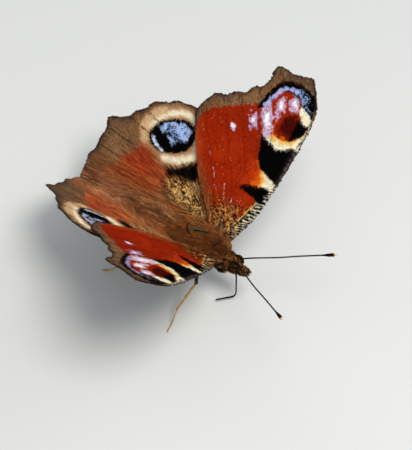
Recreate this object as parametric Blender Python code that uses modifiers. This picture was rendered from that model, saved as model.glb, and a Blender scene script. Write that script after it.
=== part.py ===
# Peacock butterfly, life size, standing with its wings half open in a V.
# The head points to -Y, the insect's left is +X, and the feet rest on z = 0.
# Lengths below are in millimetres and are scaled to metres as each mesh is made.
import math

import bmesh
import bpy
from mathutils import Vector
from mathutils.geometry import delaunay_2d_cdt, intersect_point_line

MM = 0.001

# Driving dimensions of the stance
BODY_HEIGHT = 8.0           # floor to the axis of the thorax
GAP = 0.3                   # clearance that touching pieces keep
FOREWING_DIHEDRAL = {"left": 38.5, "right": 38.5}   # degrees above the horizontal
HINDWING_DIHEDRAL = {"left": 36.6, "right": 35.2}
FOREWING_HINGE = (2.4, -1.3, 0.95)
HINDWING_HINGE = (2.4, 1.5, -0.25)

# Wings
MEMBRANE = 0.5              # thickness between the veins
VEIN_THICKNESS = 0.76       # thickness on the crest of a vein
VEIN_HALF_WIDTH = 0.3
WING_ARCH = 0.15            # rise of the middle of a wing above its flat plane
ARCH_SPAN = 27.0
MARGIN_STEP = 1.25          # spacing of points round a wing
VEIN_STEP = 1.7
FIELD_STEP = 2.3            # spacing of points on the open membrane
FIELD_ROOM = 0.92           # such a point stays this far from margins and veins
ROW_RATIO = math.sqrt(3) / 2    # rows of the open membrane stand closer than points in a row

# Body, each as (place along the body, radius)
THORAX_PROFILE = [(-5.2, 1.25), (-4.9, 1.65), (-4.2, 2.1), (-2.9, 2.5), (-1.0, 2.7), (1.0, 2.65),
                  (2.8, 2.4), (3.9, 2.1), (4.5, 1.8)]
HEAD_PROFILE = [(-8.0, 0.75), (-7.7, 1.05), (-7.2, 1.27), (-6.6, 1.34), (-6.0, 1.2), (-5.5, 0.95)]
HEAD_DROP = 0.85            # how far the head's axis lies under the thorax axis
BODY_DEPTH = 1.06           # height of the body for each unit of its width
ABDOMEN_START = 4.8
ABDOMEN_LENGTH = 8.8
ABDOMEN_RADIUS = 2.08
ABDOMEN_SEGMENTS = 7
RINGS_PER_SEGMENT = 3
ABDOMEN_SWELL = (0.30, 0.66)    # stretch of a half sine that gives its outline, start and span
ABDOMEN_FULLNESS = 0.62     # power on that half sine; lower is blunter
SEGMENT_GROOVE = 0.08
ABDOMEN_DROP = (0.45, 0.9)  # how far its axis lies under the thorax axis, front and tip
BODY_SIDES = 28

EYE_FLAT = 0.62             # half width of the head between the eyes
EYE_BULGE = 0.58
EYE_CENTRE = (-6.9, -0.75)
EYE_HALF_SIZE = (0.86, 0.95)
EYE_SEGMENTS = 18
EYE_RINGS = 10

# Slender pieces: radii in order along each
PALP_RADII = [0.4, 0.38, 0.18]
ANTENNA_RADIUS = 0.25
ANTENNA_STOPS = (0.35, 0.7)     # places of the shaft's middle points, root to club
CLUB_RADII = [(0.25, 0.34), (0.5, 0.38), (0.85, 0.37), (1.0, 0.32)]   # place from club to tip, radius
PROBOSCIS_RADIUS = 0.25
PROBOSCIS_TIP_RADIUS = 0.2
FEMUR_RADII = [0.32, 0.36, 0.31]
FEMUR_WIDEST = 0.55
TIBIA_RADII = [0.29, 0.28, 0.28]
TARSUS_RADIUS = 0.26
TARSUS_BEND = 0.6
FORELEG_RADII = [0.32, 0.36, 0.38, 0.3]
FOOT_SINK = 0.11            # height of a foot's centre line over the floor
HEEL_RISE = 0.12            # how much higher the foot starts than its toe
TUBE_RESOLUTION = 2

# Outlines as runs of (out along the wing, back from the hinge); a run ends at each corner
FOREWING_RUNS = [
    [(-0.7, -3.1), (2.3, -4.1), (4.6, -4.75), (7.5, -5.05), (10.8, -5.35), (16.6, -5.6), (20.6, -5.45),
     (22.8, -5.1), (24.3, -4.3), (25.5, -3.4), (26.7, -2.5), (27.1, -2.1)],
    [(27.1, -2.1), (27.0, -1.4), (26.6, 0.0), (26.3, 1.1), (26.45, 2.2), (26.4, 3.4), (26.1, 3.85)],
    [(26.1, 3.85), (24.9, 3.8), (24.2, 3.65), (22.9, 4.1), (22.3, 4.4), (22.1, 5.0), (21.4, 5.7), (20.6, 5.9),
     (20.2, 6.5), (19.9, 7.4), (19.3, 8.1), (18.7, 8.5), (18.3, 9.6), (18.0, 10.35), (16.8, 10.95),
     (15.6, 11.35), (14.5, 11.6), (13.2, 11.1)],
    [(13.2, 11.1), (10.0, 9.3), (6.5, 6.8), (4.6, 5.2), (2.2, 2.8), (0.2, 1.2)],
    [(0.2, 1.2), (-0.7, -3.1)],
]
HINDWING_RUNS = [
    [(0.0, -1.3), (2.6, -1.1), (6.0, 0.5), (10.0, 2.6), (13.4, 5.4), (14.9, 7.9), (15.25, 9.6),
     (15.05, 11.2), (14.6, 12.9), (13.9, 13.8), (13.2, 15.3), (12.7, 16.0), (11.5, 16.5), (10.8, 17.2),
     (10.1, 17.8), (9.2, 18.15), (8.4, 19.2), (7.9, 20.3), (7.4, 21.2)],
    [(7.4, 21.2), (6.8, 21.05), (6.1, 20.6), (5.3, 20.5), (4.4, 20.7), (3.1, 20.55), (1.9, 20.6), (1.1, 21.0),
     (0.4, 20.95), (-0.4, 20.6), (-1.5, 20.65), (-2.55, 20.4)],
    [(-2.55, 20.4), (-2.55, 17.0), (-2.55, 14.2), (-2.35, 12.9), (-2.0, 11.6), (-1.75, 9.0), (-1.5, 6.5),
     (-0.7, 3.8), (0.1, 2.4)],
    [(0.1, 2.4), (0.0, -1.3)],
]

# Main veins as control points in the same two directions
FOREWING_VEINS = [
    [(0.4, -2.2), (5.0, -3.3), (10.0, -4.3), (14.2, -4.9)],
    [(0.2, -1.4), (5.0, -2.4), (9.5, -3.3), (12.6, -3.5), (17.5, -3.9), (21.5, -3.2), (24.2, -2.4),
     (26.4, -1.6)],
    [(9.5, -3.3), (14.0, -4.5), (17.6, -5.0)],
    [(21.5, -3.2), (23.6, -1.5), (25.9, 0.2)],
    [(12.6, -3.5), (17.3, -2.3), (22.2, -0.3), (25.9, 2.8)],
    [(12.6, -3.5), (12.5, -2.4), (16.0, -1.0), (19.9, 0.8), (23.6, 3.4)],
    [(12.5, -2.4), (11.6, -0.9), (15.0, 0.9), (18.4, 2.4), (21.9, 4.4)],
    [(0.2, -0.5), (3.5, -0.3), (6.8, 0.3), (9.6, 0.0), (11.6, -0.9)],
    [(9.6, 0.0), (13.0, 2.2), (16.3, 4.2), (20.0, 6.6)],
    [(5.0, 0.0), (7.6, 1.3), (10.7, 3.4), (14.4, 6.0), (18.1, 8.8)],
    [(0.3, 0.3), (3.0, 1.7), (5.8, 3.4), (9.8, 6.5), (13.4, 9.2), (15.9, 10.6)],
]
HINDWING_VEINS = [
    [(0.4, -0.5), (5.5, 1.1), (10.2, 3.7), (13.8, 7.0), (14.7, 8.8)],
    [(0.5, 0.1), (3.5, 1.4), (7.2, 4.1), (11.0, 6.9), (14.6, 11.2)],
    [(7.2, 4.1), (10.2, 7.6), (12.6, 11.6), (13.5, 13.6)],
    [(7.2, 4.1), (7.6, 5.6), (9.3, 9.4), (10.7, 14.0), (11.4, 16.4)],
    [(5.9, 6.3), (7.2, 9.6), (8.4, 14.3), (9.0, 17.9)],
    [(0.5, 0.6), (2.8, 4.0), (4.4, 5.9), (5.9, 6.3), (7.6, 5.6)],
    [(4.4, 5.9), (4.9, 9.6), (5.6, 15.1), (6.0, 19.9)],
    [(2.8, 4.0), (2.95, 10.0), (3.0, 16.0), (3.1, 20.0)],
    [(0.5, 1.8), (0.55, 7.5), (0.2, 14.5), (-0.1, 20.2)],
]

# Inner strip of the hindwing, which turns down beside the abdomen
FOLD_LINE = [(-1.3, 1.0), (1.5, 0.85), (7.5, 0.6), (9.5, 0.1), (11.5, -0.85), (13.0, -2.0),
             (14.5, -2.5), (22.0, -2.7)]
FOLD_RADIUS = 0.9
FOLD_STEEPEST = 84.0

# Places of the slender pieces, as on the left side
PALP_PATH = [(0.57, -8.3, -1.3), (0.55, -8.85, -1.38), (0.36, -9.45, -1.2)]
ANTENNA_ROOT = (0.45, -6.9, 0.3)
ANTENNA_CLUB = (6.65, -18.1, 3.5)
ANTENNA_TIP = (7.6, -19.9, 4.05)
PROBOSCIS_PATH = [(0.0, -7.1, -1.2), (0.0, -7.25, -2.6), (-0.1, -7.6, -5.0), (-0.5, -8.1, -7.4)]
PROBOSCIS_END = (-3.0, -6.1, -7.4)
MID_LEG = {     # the left one stands further under the wing
    "left": [(1.0, -0.8, -1.6), (5.3, -1.9, -2.4), (8.6, -0.9, -5.5), (10.2, -0.9), (11.3, -0.9)],
    "right": [(1.0, -0.8, -1.6), (5.6, -3.6, -2.4), (9.2, -2.95, -5.5), (11.1, -3.15), (12.3, -3.3)],
}
HIND_LEG = [(0.9, 1.6, -1.5), (4.4, 5.0, -3.3), (6.4, 8.2, -5.6), (7.9, 10.2), (8.7, 11.2)]
FORELEG_PATH = [(0.8, -3.3, -1.7), (1.15, -4.3, -2.4), (1.25, -5.1, -2.4), (1.2, -5.9, -2.2)]

COLOURS = {
    "fur": ((0.17, 0.075, 0.03), 0.9),
    "eye": ((0.03, 0.014, 0.01), 0.2),
    "horn": ((0.035, 0.02, 0.014), 0.45),
    "leg": ((0.30, 0.16, 0.045), 0.5),
    "forewing": ((0.34, 0.04, 0.012), 0.75),
    "hindwing": ((0.25, 0.07, 0.025), 0.75),
}


def new_collection(name):
    """Add a collection to the scene."""
    made = bpy.data.collections.new(name)
    bpy.context.scene.collection.children.link(made)
    return made


def material(kind):
    """Give the Principled material of one kind, made on first use."""
    made = bpy.data.materials.get(kind)
    if made:
        return made
    colour, rough = COLOURS[kind]
    made = bpy.data.materials.new(kind)
    made.use_nodes = True
    shader = made.node_tree.nodes["Principled BSDF"]
    shader.inputs["Base Color"].default_value = (*colour, 1.0)
    shader.inputs["Roughness"].default_value = rough
    shader.inputs["Metallic"].default_value = 0.0
    return made


def add_object(name, mesh, collection, kind=None):
    """Put a mesh in a collection as a named object with its own material."""
    thing = bpy.data.objects.new(name, mesh)
    collection.objects.link(thing)
    if kind:
        own = material(kind).copy()
        own.name = name
        mesh.materials.clear()
        mesh.materials.append(own)
    return thing


def mesh_from(bm, name):
    """Close a bmesh into a mesh whose faces point outwards."""
    bmesh.ops.recalc_face_normals(bm, faces=bm.faces[:])
    mesh = bpy.data.meshes.new(name)
    bm.to_mesh(mesh)
    bm.free()
    return mesh


def smooth_run(points, step):
    """Sample a curve through the points, about one sample for each step."""
    pts = [Vector(p) for p in points]
    if len(pts) == 2:
        pts = [pts[0], (pts[0] + pts[1]) / 2, pts[1]]
    first = pts[0] * 2 - pts[1]
    last = pts[-1] * 2 - pts[-2]
    padded = [first, *pts, last]
    samples = []
    for i in range(1, len(padded) - 2):
        a, b, c, d = padded[i - 1:i + 3]
        count = max(1, round((c - b).length / step))
        for k in range(count):
            t = k / count
            samples.append(0.5 * ((2 * b) + (c - a) * t + (2 * a - 5 * b + 4 * c - d) * t * t
                                  + (3 * b - a - 3 * c + d) * t * t * t))
    samples.append(pts[-1])
    return samples


def value_along(table, place):
    """Read a value from (place, value) pairs, straight between them."""
    if place <= table[0][0]:
        return table[0][1]
    for (p0, v0), (p1, v1) in zip(table, table[1:]):
        if place <= p1:
            return v0 + (v1 - v0) * (place - p0) / (p1 - p0)
    return table[-1][1]


def turned_body(profile, grow=0.0, lift=None):
    """Turn a profile of (place along the body, radius) about the body's axis."""
    ends = [(profile[0][0] - grow, 0.0), (profile[0][0] - grow, profile[0][1] + grow)]
    ends_back = [(profile[-1][0] + grow, profile[-1][1] + grow), (profile[-1][0] + grow, 0.0)]
    inner = [(p, r + grow) for p, r in profile[1:-1]]
    bm = bmesh.new()
    ring = [bm.verts.new((0.0, p * MM, r * MM)) for p, r in [*ends, *inner, *ends_back]]
    edges = [bm.edges.new(pair) for pair in zip(ring, ring[1:])]
    bmesh.ops.spin(bm, geom=[*ring, *edges], cent=(0, 0, 0), axis=(0, 1, 0),
                   angle=math.tau, steps=BODY_SIDES, use_merge=True)
    bmesh.ops.remove_doubles(bm, verts=bm.verts[:], dist=1e-7)
    for v in bm.verts:
        v.co.z *= BODY_DEPTH
        if lift:
            v.co.z += lift(v.co.y / MM) * MM
    return mesh_from(bm, "turned")


def keep_largest(bm):
    """Drop every closed surface but the largest."""
    left = set(bm.faces)
    shells = []
    while left:
        shell = set()
        stack = [left.pop()]
        while stack:
            face = stack.pop()
            shell.add(face)
            for edge in face.edges:
                for other in edge.link_faces:
                    if other in left:
                        left.discard(other)
                        stack.append(other)
        shells.append(shell)
    shells.sort(key=lambda s: sum(f.calc_area() for f in s))
    for shell in shells[:-1]:
        bmesh.ops.delete(bm, geom=list(shell), context="FACES")


def cut_clear(thing, cutters):
    """Cut a piece back from each cutter and keep its main body."""
    for cutter in cutters:
        cut = thing.modifiers.new("clear of " + cutter.name, "BOOLEAN")
        cut.operation = "DIFFERENCE"
        cut.object = cutter
    seen = thing.evaluated_get(bpy.context.evaluated_depsgraph_get())
    mesh = bpy.data.meshes.new_from_object(seen)
    thing.modifiers.clear()
    bm = bmesh.new()
    bm.from_mesh(mesh)
    bmesh.ops.remove_doubles(bm, verts=bm.verts[:], dist=2e-6)
    keep_largest(bm)
    bm.to_mesh(mesh)
    bm.free()
    thing.data = mesh


def tube_mesh(points, radii):
    """Sweep a round section along points, with its ends closed."""
    curve = bpy.data.curves.new("path", "CURVE")
    curve.dimensions = "3D"
    curve.bevel_depth = MM
    curve.bevel_resolution = TUBE_RESOLUTION
    curve.use_fill_caps = True
    line = curve.splines.new("POLY")
    line.points.add(len(points) - 1)
    for spot, place, radius in zip(line.points, points, radii):
        spot.co = (place[0] * MM, place[1] * MM, place[2] * MM, 1.0)
        spot.radius = radius
    holder = bpy.data.objects.new("path", curve)
    bpy.context.scene.collection.objects.link(holder)
    seen = holder.evaluated_get(bpy.context.evaluated_depsgraph_get())
    mesh = bpy.data.meshes.new_from_object(seen)
    bpy.data.objects.remove(holder)
    bpy.data.curves.remove(curve)
    bm = bmesh.new()
    bm.from_mesh(mesh)
    bmesh.ops.remove_doubles(bm, verts=bm.verts[:], dist=1e-6)
    return mesh_from(bm, "tube")


def on_side(point, side):
    """Mirror a left-hand place for the right side."""
    return Vector((point[0] * side, point[1], point[2]))


def shorten(start, end, at_start=0.0, at_end=0.0):
    """Draw in the ends of a straight stretch."""
    way = (end - start).normalized()
    return start + way * at_start, end - way * at_end


def wing_arch(out):
    """Height of the wing's surface over its flat plane."""
    return WING_ARCH * math.sin(math.pi * min(max(out, 0.0), ARCH_SPAN) / ARCH_SPAN)


def wing_place(out, back, side, hinge, dihedral, folds):
    """Place a point of a wing's middle surface in the body's frame."""
    lean = math.radians(dihedral)
    reach = out
    x_fold = 0.0
    z_fold = 0.0
    if folds:
        start = value_along(FOLD_LINE, back)
        if out < start:
            strip = start - out
            turn = min(strip / FOLD_RADIUS, math.radians(FOLD_STEEPEST) - lean)
            steep = lean + turn
            rest = strip - turn * FOLD_RADIUS
            x_fold = -FOLD_RADIUS * (math.sin(steep) - math.sin(lean)) - rest * math.cos(steep)
            z_fold = -FOLD_RADIUS * (math.cos(lean) - math.cos(steep)) - rest * math.sin(steep)
            reach = start
    rise = wing_arch(reach)
    x = hinge[0] + reach * math.cos(lean) - rise * math.sin(lean) + x_fold
    z = hinge[2] + reach * math.sin(lean) + rise * math.cos(lean) + z_fold
    return Vector((side * x * MM, (hinge[1] + back) * MM, z * MM))


def inside(point, loop):
    """Tell whether a flat point lies inside a closed loop."""
    hit = False
    for a, b in zip(loop, loop[1:] + loop[:1]):
        if (a.y > point.y) != (b.y > point.y):
            if point.x < a.x + (point.y - a.y) / (b.y - a.y) * (b.x - a.x):
                hit = not hit
    return hit


def nearest(point, line):
    """Distance from a flat point to a line of points."""
    best = 1e9
    for a, b in zip(line, line[1:]):
        spot, t = intersect_point_line(point, a, b)
        t = min(max(t, 0.0), 1.0)
        best = min(best, (a.lerp(b, t) - point).length)
    return best


def wing_plan(runs, veins):
    """Triangulate a wing in its own plane, with lines along each vein."""
    loop = []
    for run in runs:
        loop += smooth_run(run, MARGIN_STEP)[:-1]
    crests = [smooth_run(vein, VEIN_STEP) for vein in veins]
    spots = list(loop)
    edges = []
    for crest in crests:
        for shift in (-VEIN_HALF_WIDTH, 0.0, VEIN_HALF_WIDTH):
            start = len(spots)
            for i, spot in enumerate(crest):
                way = (crest[min(i + 1, len(crest) - 1)] - crest[max(i - 1, 0)]).normalized()
                spots.append(spot + Vector((-way.y, way.x)) * shift)
            edges += [(k, k + 1) for k in range(start, len(spots) - 1)]
    row = 0
    back = min(p.y for p in loop)
    while back < max(p.y for p in loop):
        out = min(p.x for p in loop) + (row % 2) * FIELD_STEP / 2
        while out < max(p.x for p in loop):
            spot = Vector((out, back))
            clear = inside(spot, loop) and nearest(spot, loop + loop[:1]) > FIELD_ROOM
            if clear and all(nearest(spot, c) > FIELD_ROOM for c in crests):
                spots.append(spot)
            out += FIELD_STEP
        back += FIELD_STEP * ROW_RATIO
        row += 1
    made = delaunay_2d_cdt(spots, edges, [list(range(len(loop)))], 1, 1e-4)
    verts, faces = made[0], made[2]
    lift = [max(0.0, 1.0 - min(nearest(v, c) for c in crests) / VEIN_HALF_WIDTH) for v in verts]
    return verts, faces, lift


def make_wing(name, kind, plan, side, hinge, dihedral, folds, collection):
    """Raise a wing from its plan: a curved sheet, thicker along its veins."""
    verts, faces, lift = plan
    bm = bmesh.new()
    made = [bm.verts.new(wing_place(v.x, v.y, side, hinge, dihedral, folds)) for v in verts]
    for face in faces:
        bm.faces.new([made[i] for i in face])
    mesh = mesh_from(bm, name)
    wing = add_object(name, mesh, collection, kind)
    group = wing.vertex_groups.new(name="vein")
    for i, amount in enumerate(lift):
        group.add([i], amount, "REPLACE")
    sheet = wing.modifiers.new("membrane", "SOLIDIFY")
    sheet.thickness = VEIN_THICKNESS * MM
    sheet.offset = 0.0
    sheet.vertex_group = "vein"
    sheet.thickness_vertex_group = MEMBRANE / VEIN_THICKNESS
    return wing


def abdomen_profile():
    """Radius along the abdomen, with a shallow groove between segments."""
    profile = []
    count = ABDOMEN_SEGMENTS * RINGS_PER_SEGMENT
    for i in range(count + 1):
        t = i / count
        swell = math.sin(math.pi * (ABDOMEN_SWELL[0] + ABDOMEN_SWELL[1] * t)) ** ABDOMEN_FULLNESS
        groove = SEGMENT_GROOVE if i % RINGS_PER_SEGMENT == 0 and 0 < i < count else 0.0
        profile.append((ABDOMEN_START + ABDOMEN_LENGTH * t, ABDOMEN_RADIUS * swell - groove))
    return profile


def abdomen_lift(place):
    """Height of the abdomen's axis against the thorax axis."""
    t = (place - ABDOMEN_START) / ABDOMEN_LENGTH
    return -(ABDOMEN_DROP[0] + (ABDOMEN_DROP[1] - ABDOMEN_DROP[0]) * t)


def head_lift(place):
    """Height of the head's axis against the thorax axis, the same all along."""
    return -HEAD_DROP


def make_head(collection):
    """Head, flat where the eyes sit."""
    mesh = turned_body(HEAD_PROFILE, 0.0, head_lift)
    bm = bmesh.new()
    bm.from_mesh(mesh)
    for side in (-1, 1):
        whole = bm.verts[:] + bm.edges[:] + bm.faces[:]
        cut = bmesh.ops.bisect_plane(bm, geom=whole, dist=1e-6, plane_co=(side * EYE_FLAT * MM, 0, 0),
                                     plane_no=(side, 0, 0), clear_outer=True)
        rim = [e for e in cut["geom_cut"] if isinstance(e, bmesh.types.BMEdge)]
        bmesh.ops.edgeloop_fill(bm, edges=rim)
    return add_object("head", mesh_from(bm, "head"), collection, "fur")


def make_eye(side, collection):
    """Domed eye whose flat back faces the side of the head."""
    bm = bmesh.new()
    bmesh.ops.create_uvsphere(bm, u_segments=EYE_SEGMENTS, v_segments=EYE_RINGS, radius=MM)
    whole = bm.verts[:] + bm.edges[:] + bm.faces[:]
    cut = bmesh.ops.bisect_plane(bm, geom=whole, dist=1e-6, plane_co=(0, 0, 0),
                                 plane_no=(-side, 0, 0), clear_outer=True)
    rim = [e for e in cut["geom_cut"] if isinstance(e, bmesh.types.BMEdge)]
    bmesh.ops.edgeloop_fill(bm, edges=rim)
    for v in bm.verts:
        v.co.x = v.co.x * EYE_BULGE + side * (EYE_FLAT + GAP) * MM
        v.co.y = v.co.y * EYE_HALF_SIZE[0] + EYE_CENTRE[0] * MM
        v.co.z = v.co.z * EYE_HALF_SIZE[1] + EYE_CENTRE[1] * MM
    name = "eye_left" if side > 0 else "eye_right"
    return add_object(name, mesh_from(bm, name), collection, "eye")


def tube_piece(name, kind, points, radii, collection, cutters=()):
    """Slender piece along points, cut back from what it grows from."""
    piece = add_object(name, tube_mesh(points, radii), collection, kind)
    if cutters:
        cut_clear(piece, cutters)
    return piece


def bend_room(before, corner, after, radius):
    """How far two round stretches stop short of their shared corner."""
    angle = (corner - before).angle(after - corner)
    return GAP / 2 + radius * math.tan(angle / 2)


def flat_foot(piece):
    """Cut a foot flat where it meets the floor."""
    bm = bmesh.new()
    bm.from_mesh(piece.data)
    whole = bm.verts[:] + bm.edges[:] + bm.faces[:]
    cut = bmesh.ops.bisect_plane(bm, geom=whole, dist=1e-7, plane_co=(0, 0, -BODY_HEIGHT * MM),
                                 plane_no=(0, 0, -1), clear_outer=True)
    rim = [e for e in cut["geom_cut"] if isinstance(e, bmesh.types.BMEdge)]
    bmesh.ops.holes_fill(bm, edges=rim)
    bmesh.ops.recalc_face_normals(bm, faces=bm.faces[:])
    bm.to_mesh(piece.data)
    bm.free()


def make_leg(label, route, side, collection, thorax_room):
    """Walking leg in three lengths: femur, tibia and the foot's tarsus."""
    sole = -BODY_HEIGHT + FOOT_SINK
    hip, knee, ankle = (on_side(p, side) for p in route[:3])
    ball, toe = (on_side((*p, sole), side) for p in route[3:])
    ball.z += HEEL_RISE
    knee_room = bend_room(hip, knee, ankle, max(FEMUR_RADII))
    ankle_room = bend_room(knee, ankle, ball, max(TIBIA_RADII))
    hand = "left" if side > 0 else "right"
    a, b = shorten(hip, knee, 0.0, knee_room)
    tube_piece(f"{label}_femur_{hand}", "horn", [a, a.lerp(b, FEMUR_WIDEST), b], FEMUR_RADII,
               collection, [thorax_room])
    a, b = shorten(knee, ankle, knee_room, ankle_room)
    tube_piece(f"{label}_tibia_{hand}", "leg", [a, (a + b) / 2, b], TIBIA_RADII, collection)
    a, b = shorten(ankle, ball, ankle_room, 0.0)
    points = [a, a.lerp(b, TARSUS_BEND), b, toe]
    foot = tube_piece(f"{label}_tarsus_{hand}", "leg", points, [TARSUS_RADIUS] * len(points), collection)
    flat_foot(foot)


def make_antenna(side, collection, head_room):
    """Feeler with a club at its tip."""
    root, club, tip = (on_side(p, side) for p in (ANTENNA_ROOT, ANTENNA_CLUB, ANTENNA_TIP))
    points = [root, *(root.lerp(club, t) for t in ANTENNA_STOPS), club]
    radii = [ANTENNA_RADIUS] * len(points)
    for t, radius in CLUB_RADII:
        points.append(club.lerp(tip, t))
        radii.append(radius)
    name = "antenna_left" if side > 0 else "antenna_right"
    tube_piece(name, "horn", points, radii, collection, [head_room])


def make_proboscis(collection, head_room):
    """Sucking tube, down from the head and bent back over the floor."""
    points = [Vector(p) for p in PROBOSCIS_PATH]
    end = Vector(PROBOSCIS_END)
    room = bend_room(points[-2], points[-1], end, PROBOSCIS_RADIUS)
    points[-1] = shorten(points[-2], points[-1], 0.0, room)[1]
    radii = [PROBOSCIS_RADIUS] * len(points)
    tube_piece("proboscis_base", "horn", points, radii, collection, [head_room])
    start = shorten(Vector(PROBOSCIS_PATH[-1]), end, room)[0]
    tube_piece("proboscis_tip", "horn", [start, end], [PROBOSCIS_RADIUS, PROBOSCIS_TIP_RADIUS], collection)


def stand_on_floor(collection):
    """Set the underside at z = 0 and the middle of the outline over the origin."""
    low = [math.inf] * 3
    high = [-math.inf] * 3
    for thing in collection.objects:
        for v in thing.data.vertices:
            for axis in range(3):
                low[axis] = min(low[axis], v.co[axis])
                high[axis] = max(high[axis], v.co[axis])
    shift = Vector((-(low[0] + high[0]) / 2, -(low[1] + high[1]) / 2, BODY_HEIGHT * MM))
    for thing in collection.objects:
        for v in thing.data.vertices:
            v.co += shift


def main():
    for thing in list(bpy.data.objects):
        bpy.data.objects.remove(thing)
    butterfly = new_collection("peacock_butterfly")
    cutters = new_collection("cutters")

    thorax_room = add_object("thorax_room", turned_body(THORAX_PROFILE, GAP), cutters)
    head_room = add_object("head_room", turned_body(HEAD_PROFILE, GAP, head_lift), cutters)
    for guide in (thorax_room, head_room):
        guide.hide_render = True
        guide.display_type = "WIRE"

    add_object("thorax", turned_body(THORAX_PROFILE), butterfly, "fur")
    add_object("abdomen", turned_body(abdomen_profile(), 0.0, abdomen_lift), butterfly, "fur")
    make_head(butterfly)
    make_proboscis(butterfly, head_room)

    forewing_plan = wing_plan(FOREWING_RUNS, FOREWING_VEINS)
    hindwing_plan = wing_plan(HINDWING_RUNS, HINDWING_VEINS)
    for side, hand in ((1, "left"), (-1, "right")):
        make_eye(side, butterfly)
        tube_piece("palp_" + hand, "fur", [on_side(p, side) for p in PALP_PATH],
                   PALP_RADII, butterfly)
        make_antenna(side, butterfly, head_room)
        tube_piece("foreleg_" + hand, "fur", [on_side(p, side) for p in FORELEG_PATH],
                   FORELEG_RADII, butterfly, [thorax_room])
        make_leg("mid_leg", MID_LEG[hand], side, butterfly, thorax_room)
        make_leg("hind_leg", HIND_LEG, side, butterfly, thorax_room)
        forewing = make_wing("forewing_" + hand, "forewing", forewing_plan, side,
                             FOREWING_HINGE, FOREWING_DIHEDRAL[hand], False, butterfly)
        hindwing = make_wing("hindwing_" + hand, "hindwing", hindwing_plan, side,
                             HINDWING_HINGE, HINDWING_DIHEDRAL[hand], True, butterfly)
        for wing in (forewing, hindwing):
            cut_clear(wing, [thorax_room])

    stand_on_floor(butterfly)


main()
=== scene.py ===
import math
from functools import partial

import bmesh
import bpy
import numpy as np
from mathutils import Matrix, Vector


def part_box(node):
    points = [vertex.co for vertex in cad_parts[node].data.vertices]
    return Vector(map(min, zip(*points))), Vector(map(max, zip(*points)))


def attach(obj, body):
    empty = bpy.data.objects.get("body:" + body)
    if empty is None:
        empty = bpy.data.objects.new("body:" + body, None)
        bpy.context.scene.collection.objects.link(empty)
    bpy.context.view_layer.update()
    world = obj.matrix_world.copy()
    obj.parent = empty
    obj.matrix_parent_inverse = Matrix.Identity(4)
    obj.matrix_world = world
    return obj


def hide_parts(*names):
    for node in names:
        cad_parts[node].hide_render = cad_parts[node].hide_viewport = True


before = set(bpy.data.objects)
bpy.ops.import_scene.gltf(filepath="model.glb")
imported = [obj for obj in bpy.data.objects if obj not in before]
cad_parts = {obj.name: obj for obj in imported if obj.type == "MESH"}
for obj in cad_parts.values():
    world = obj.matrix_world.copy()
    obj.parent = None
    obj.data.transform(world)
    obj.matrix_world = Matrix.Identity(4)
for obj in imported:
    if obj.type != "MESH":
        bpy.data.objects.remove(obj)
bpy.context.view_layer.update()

# Everything below is shaped in millimetres from the middle of the thorax: head towards -Y, left side +X
mm = 0.001
noiseCells = 97      # side of the random table behind every noise
bakePatch = 0.003    # side of the patch that a scale or a hair has on its piece's unwrap
bodyCentre = np.array([0.0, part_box("thorax")[0].y / mm + 5.2, 8.0])
sides = {"left": 1.0, "right": -1.0}
print("frame loaded")


def toRow(points):
    return (np.asarray(points, float) + bodyCentre) * mm


# Camera and light
view = {
    "direction": (-0.5395, -0.2807, 0.7938),
    "distance": 450.0,
    "heightSeen": 68.8,       # millimetres of the subject over the photograph's height
    "roll": 8.0,
    "aim": (1.185, 2.116),    # right and up of the thorax
}
wattsPerSquare = 4.0    # watts for each square metre of distance, so that every lamp lights alike
light = {
    "world": ((0.88, 0.94, 1.0), 0.5),
    "key": ((-0.1, -0.3, 0.95), 220.0, 110.0, (1.0, 0.965, 0.9), 1.7),
    "fill": ((0.9, -0.5, 0.7), 260.0, 220.0, (0.9, 0.95, 1.0), 0.4),
    "back": ((0.1, 1.0, 0.45), 240.0, 160.0, (1.0, 0.98, 0.95), 0.35),
}


def setCamera():
    toEye = Vector(view["direction"]).normalized()
    up = (Vector((0, 0, 1)) - toEye * toEye.z).normalized()
    right = up.cross(toEye)
    roll = math.radians(view["roll"])
    rightTilted = right * math.cos(roll) + up * math.sin(roll)
    upTilted = up * math.cos(roll) - right * math.sin(roll)
    aim = rightTilted * view["aim"][0] + upTilted * view["aim"][1]
    data = bpy.data.cameras.new("camera")
    data.lens = 36.0 * view["distance"] / view["heightSeen"]
    data.sensor_width = 36.0
    data.clip_start = 0.01
    data.clip_end = 10.0
    camera = bpy.data.objects.new("camera", data)
    eye = toEye * view["distance"]
    back = (eye - aim).normalized()
    side = upTilted.cross(back).normalized()
    camera.matrix_world = Matrix.Translation(Vector(toRow(eye))) @ Matrix((
        (side.x, back.cross(side).x, back.x, 0),
        (side.y, back.cross(side).y, back.y, 0),
        (side.z, back.cross(side).z, back.z, 0),
        (0, 0, 0, 1)))
    bpy.context.scene.collection.objects.link(camera)
    bpy.context.scene.camera = camera


def setLight():
    world = bpy.data.worlds.new("daylight")
    bpy.context.scene.world = world
    world.use_nodes = True
    sky = world.node_tree.nodes["Background"]
    sky.inputs["Color"].default_value = (*light["world"][0], 1.0)
    sky.inputs["Strength"].default_value = light["world"][1]
    for name in ("key", "fill", "back"):
        way, away, size, colour, strength = light[name]
        data = bpy.data.lights.new(name, "AREA")
        data.shape = "DISK"
        data.size = size * mm
        data.color = colour
        data.energy = strength * wattsPerSquare * (away * mm) ** 2
        lamp = bpy.data.objects.new(name, data)
        place = Vector(way).normalized() * away
        lamp.location = Vector(toRow(place))
        lamp.rotation_mode = "QUATERNION"
        lamp.rotation_quaternion = place.to_track_quat("Z", "Y")
        bpy.context.scene.collection.objects.link(lamp)


setCamera()
setLight()
bpy.context.scene.view_settings.view_transform = "Standard"


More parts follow.
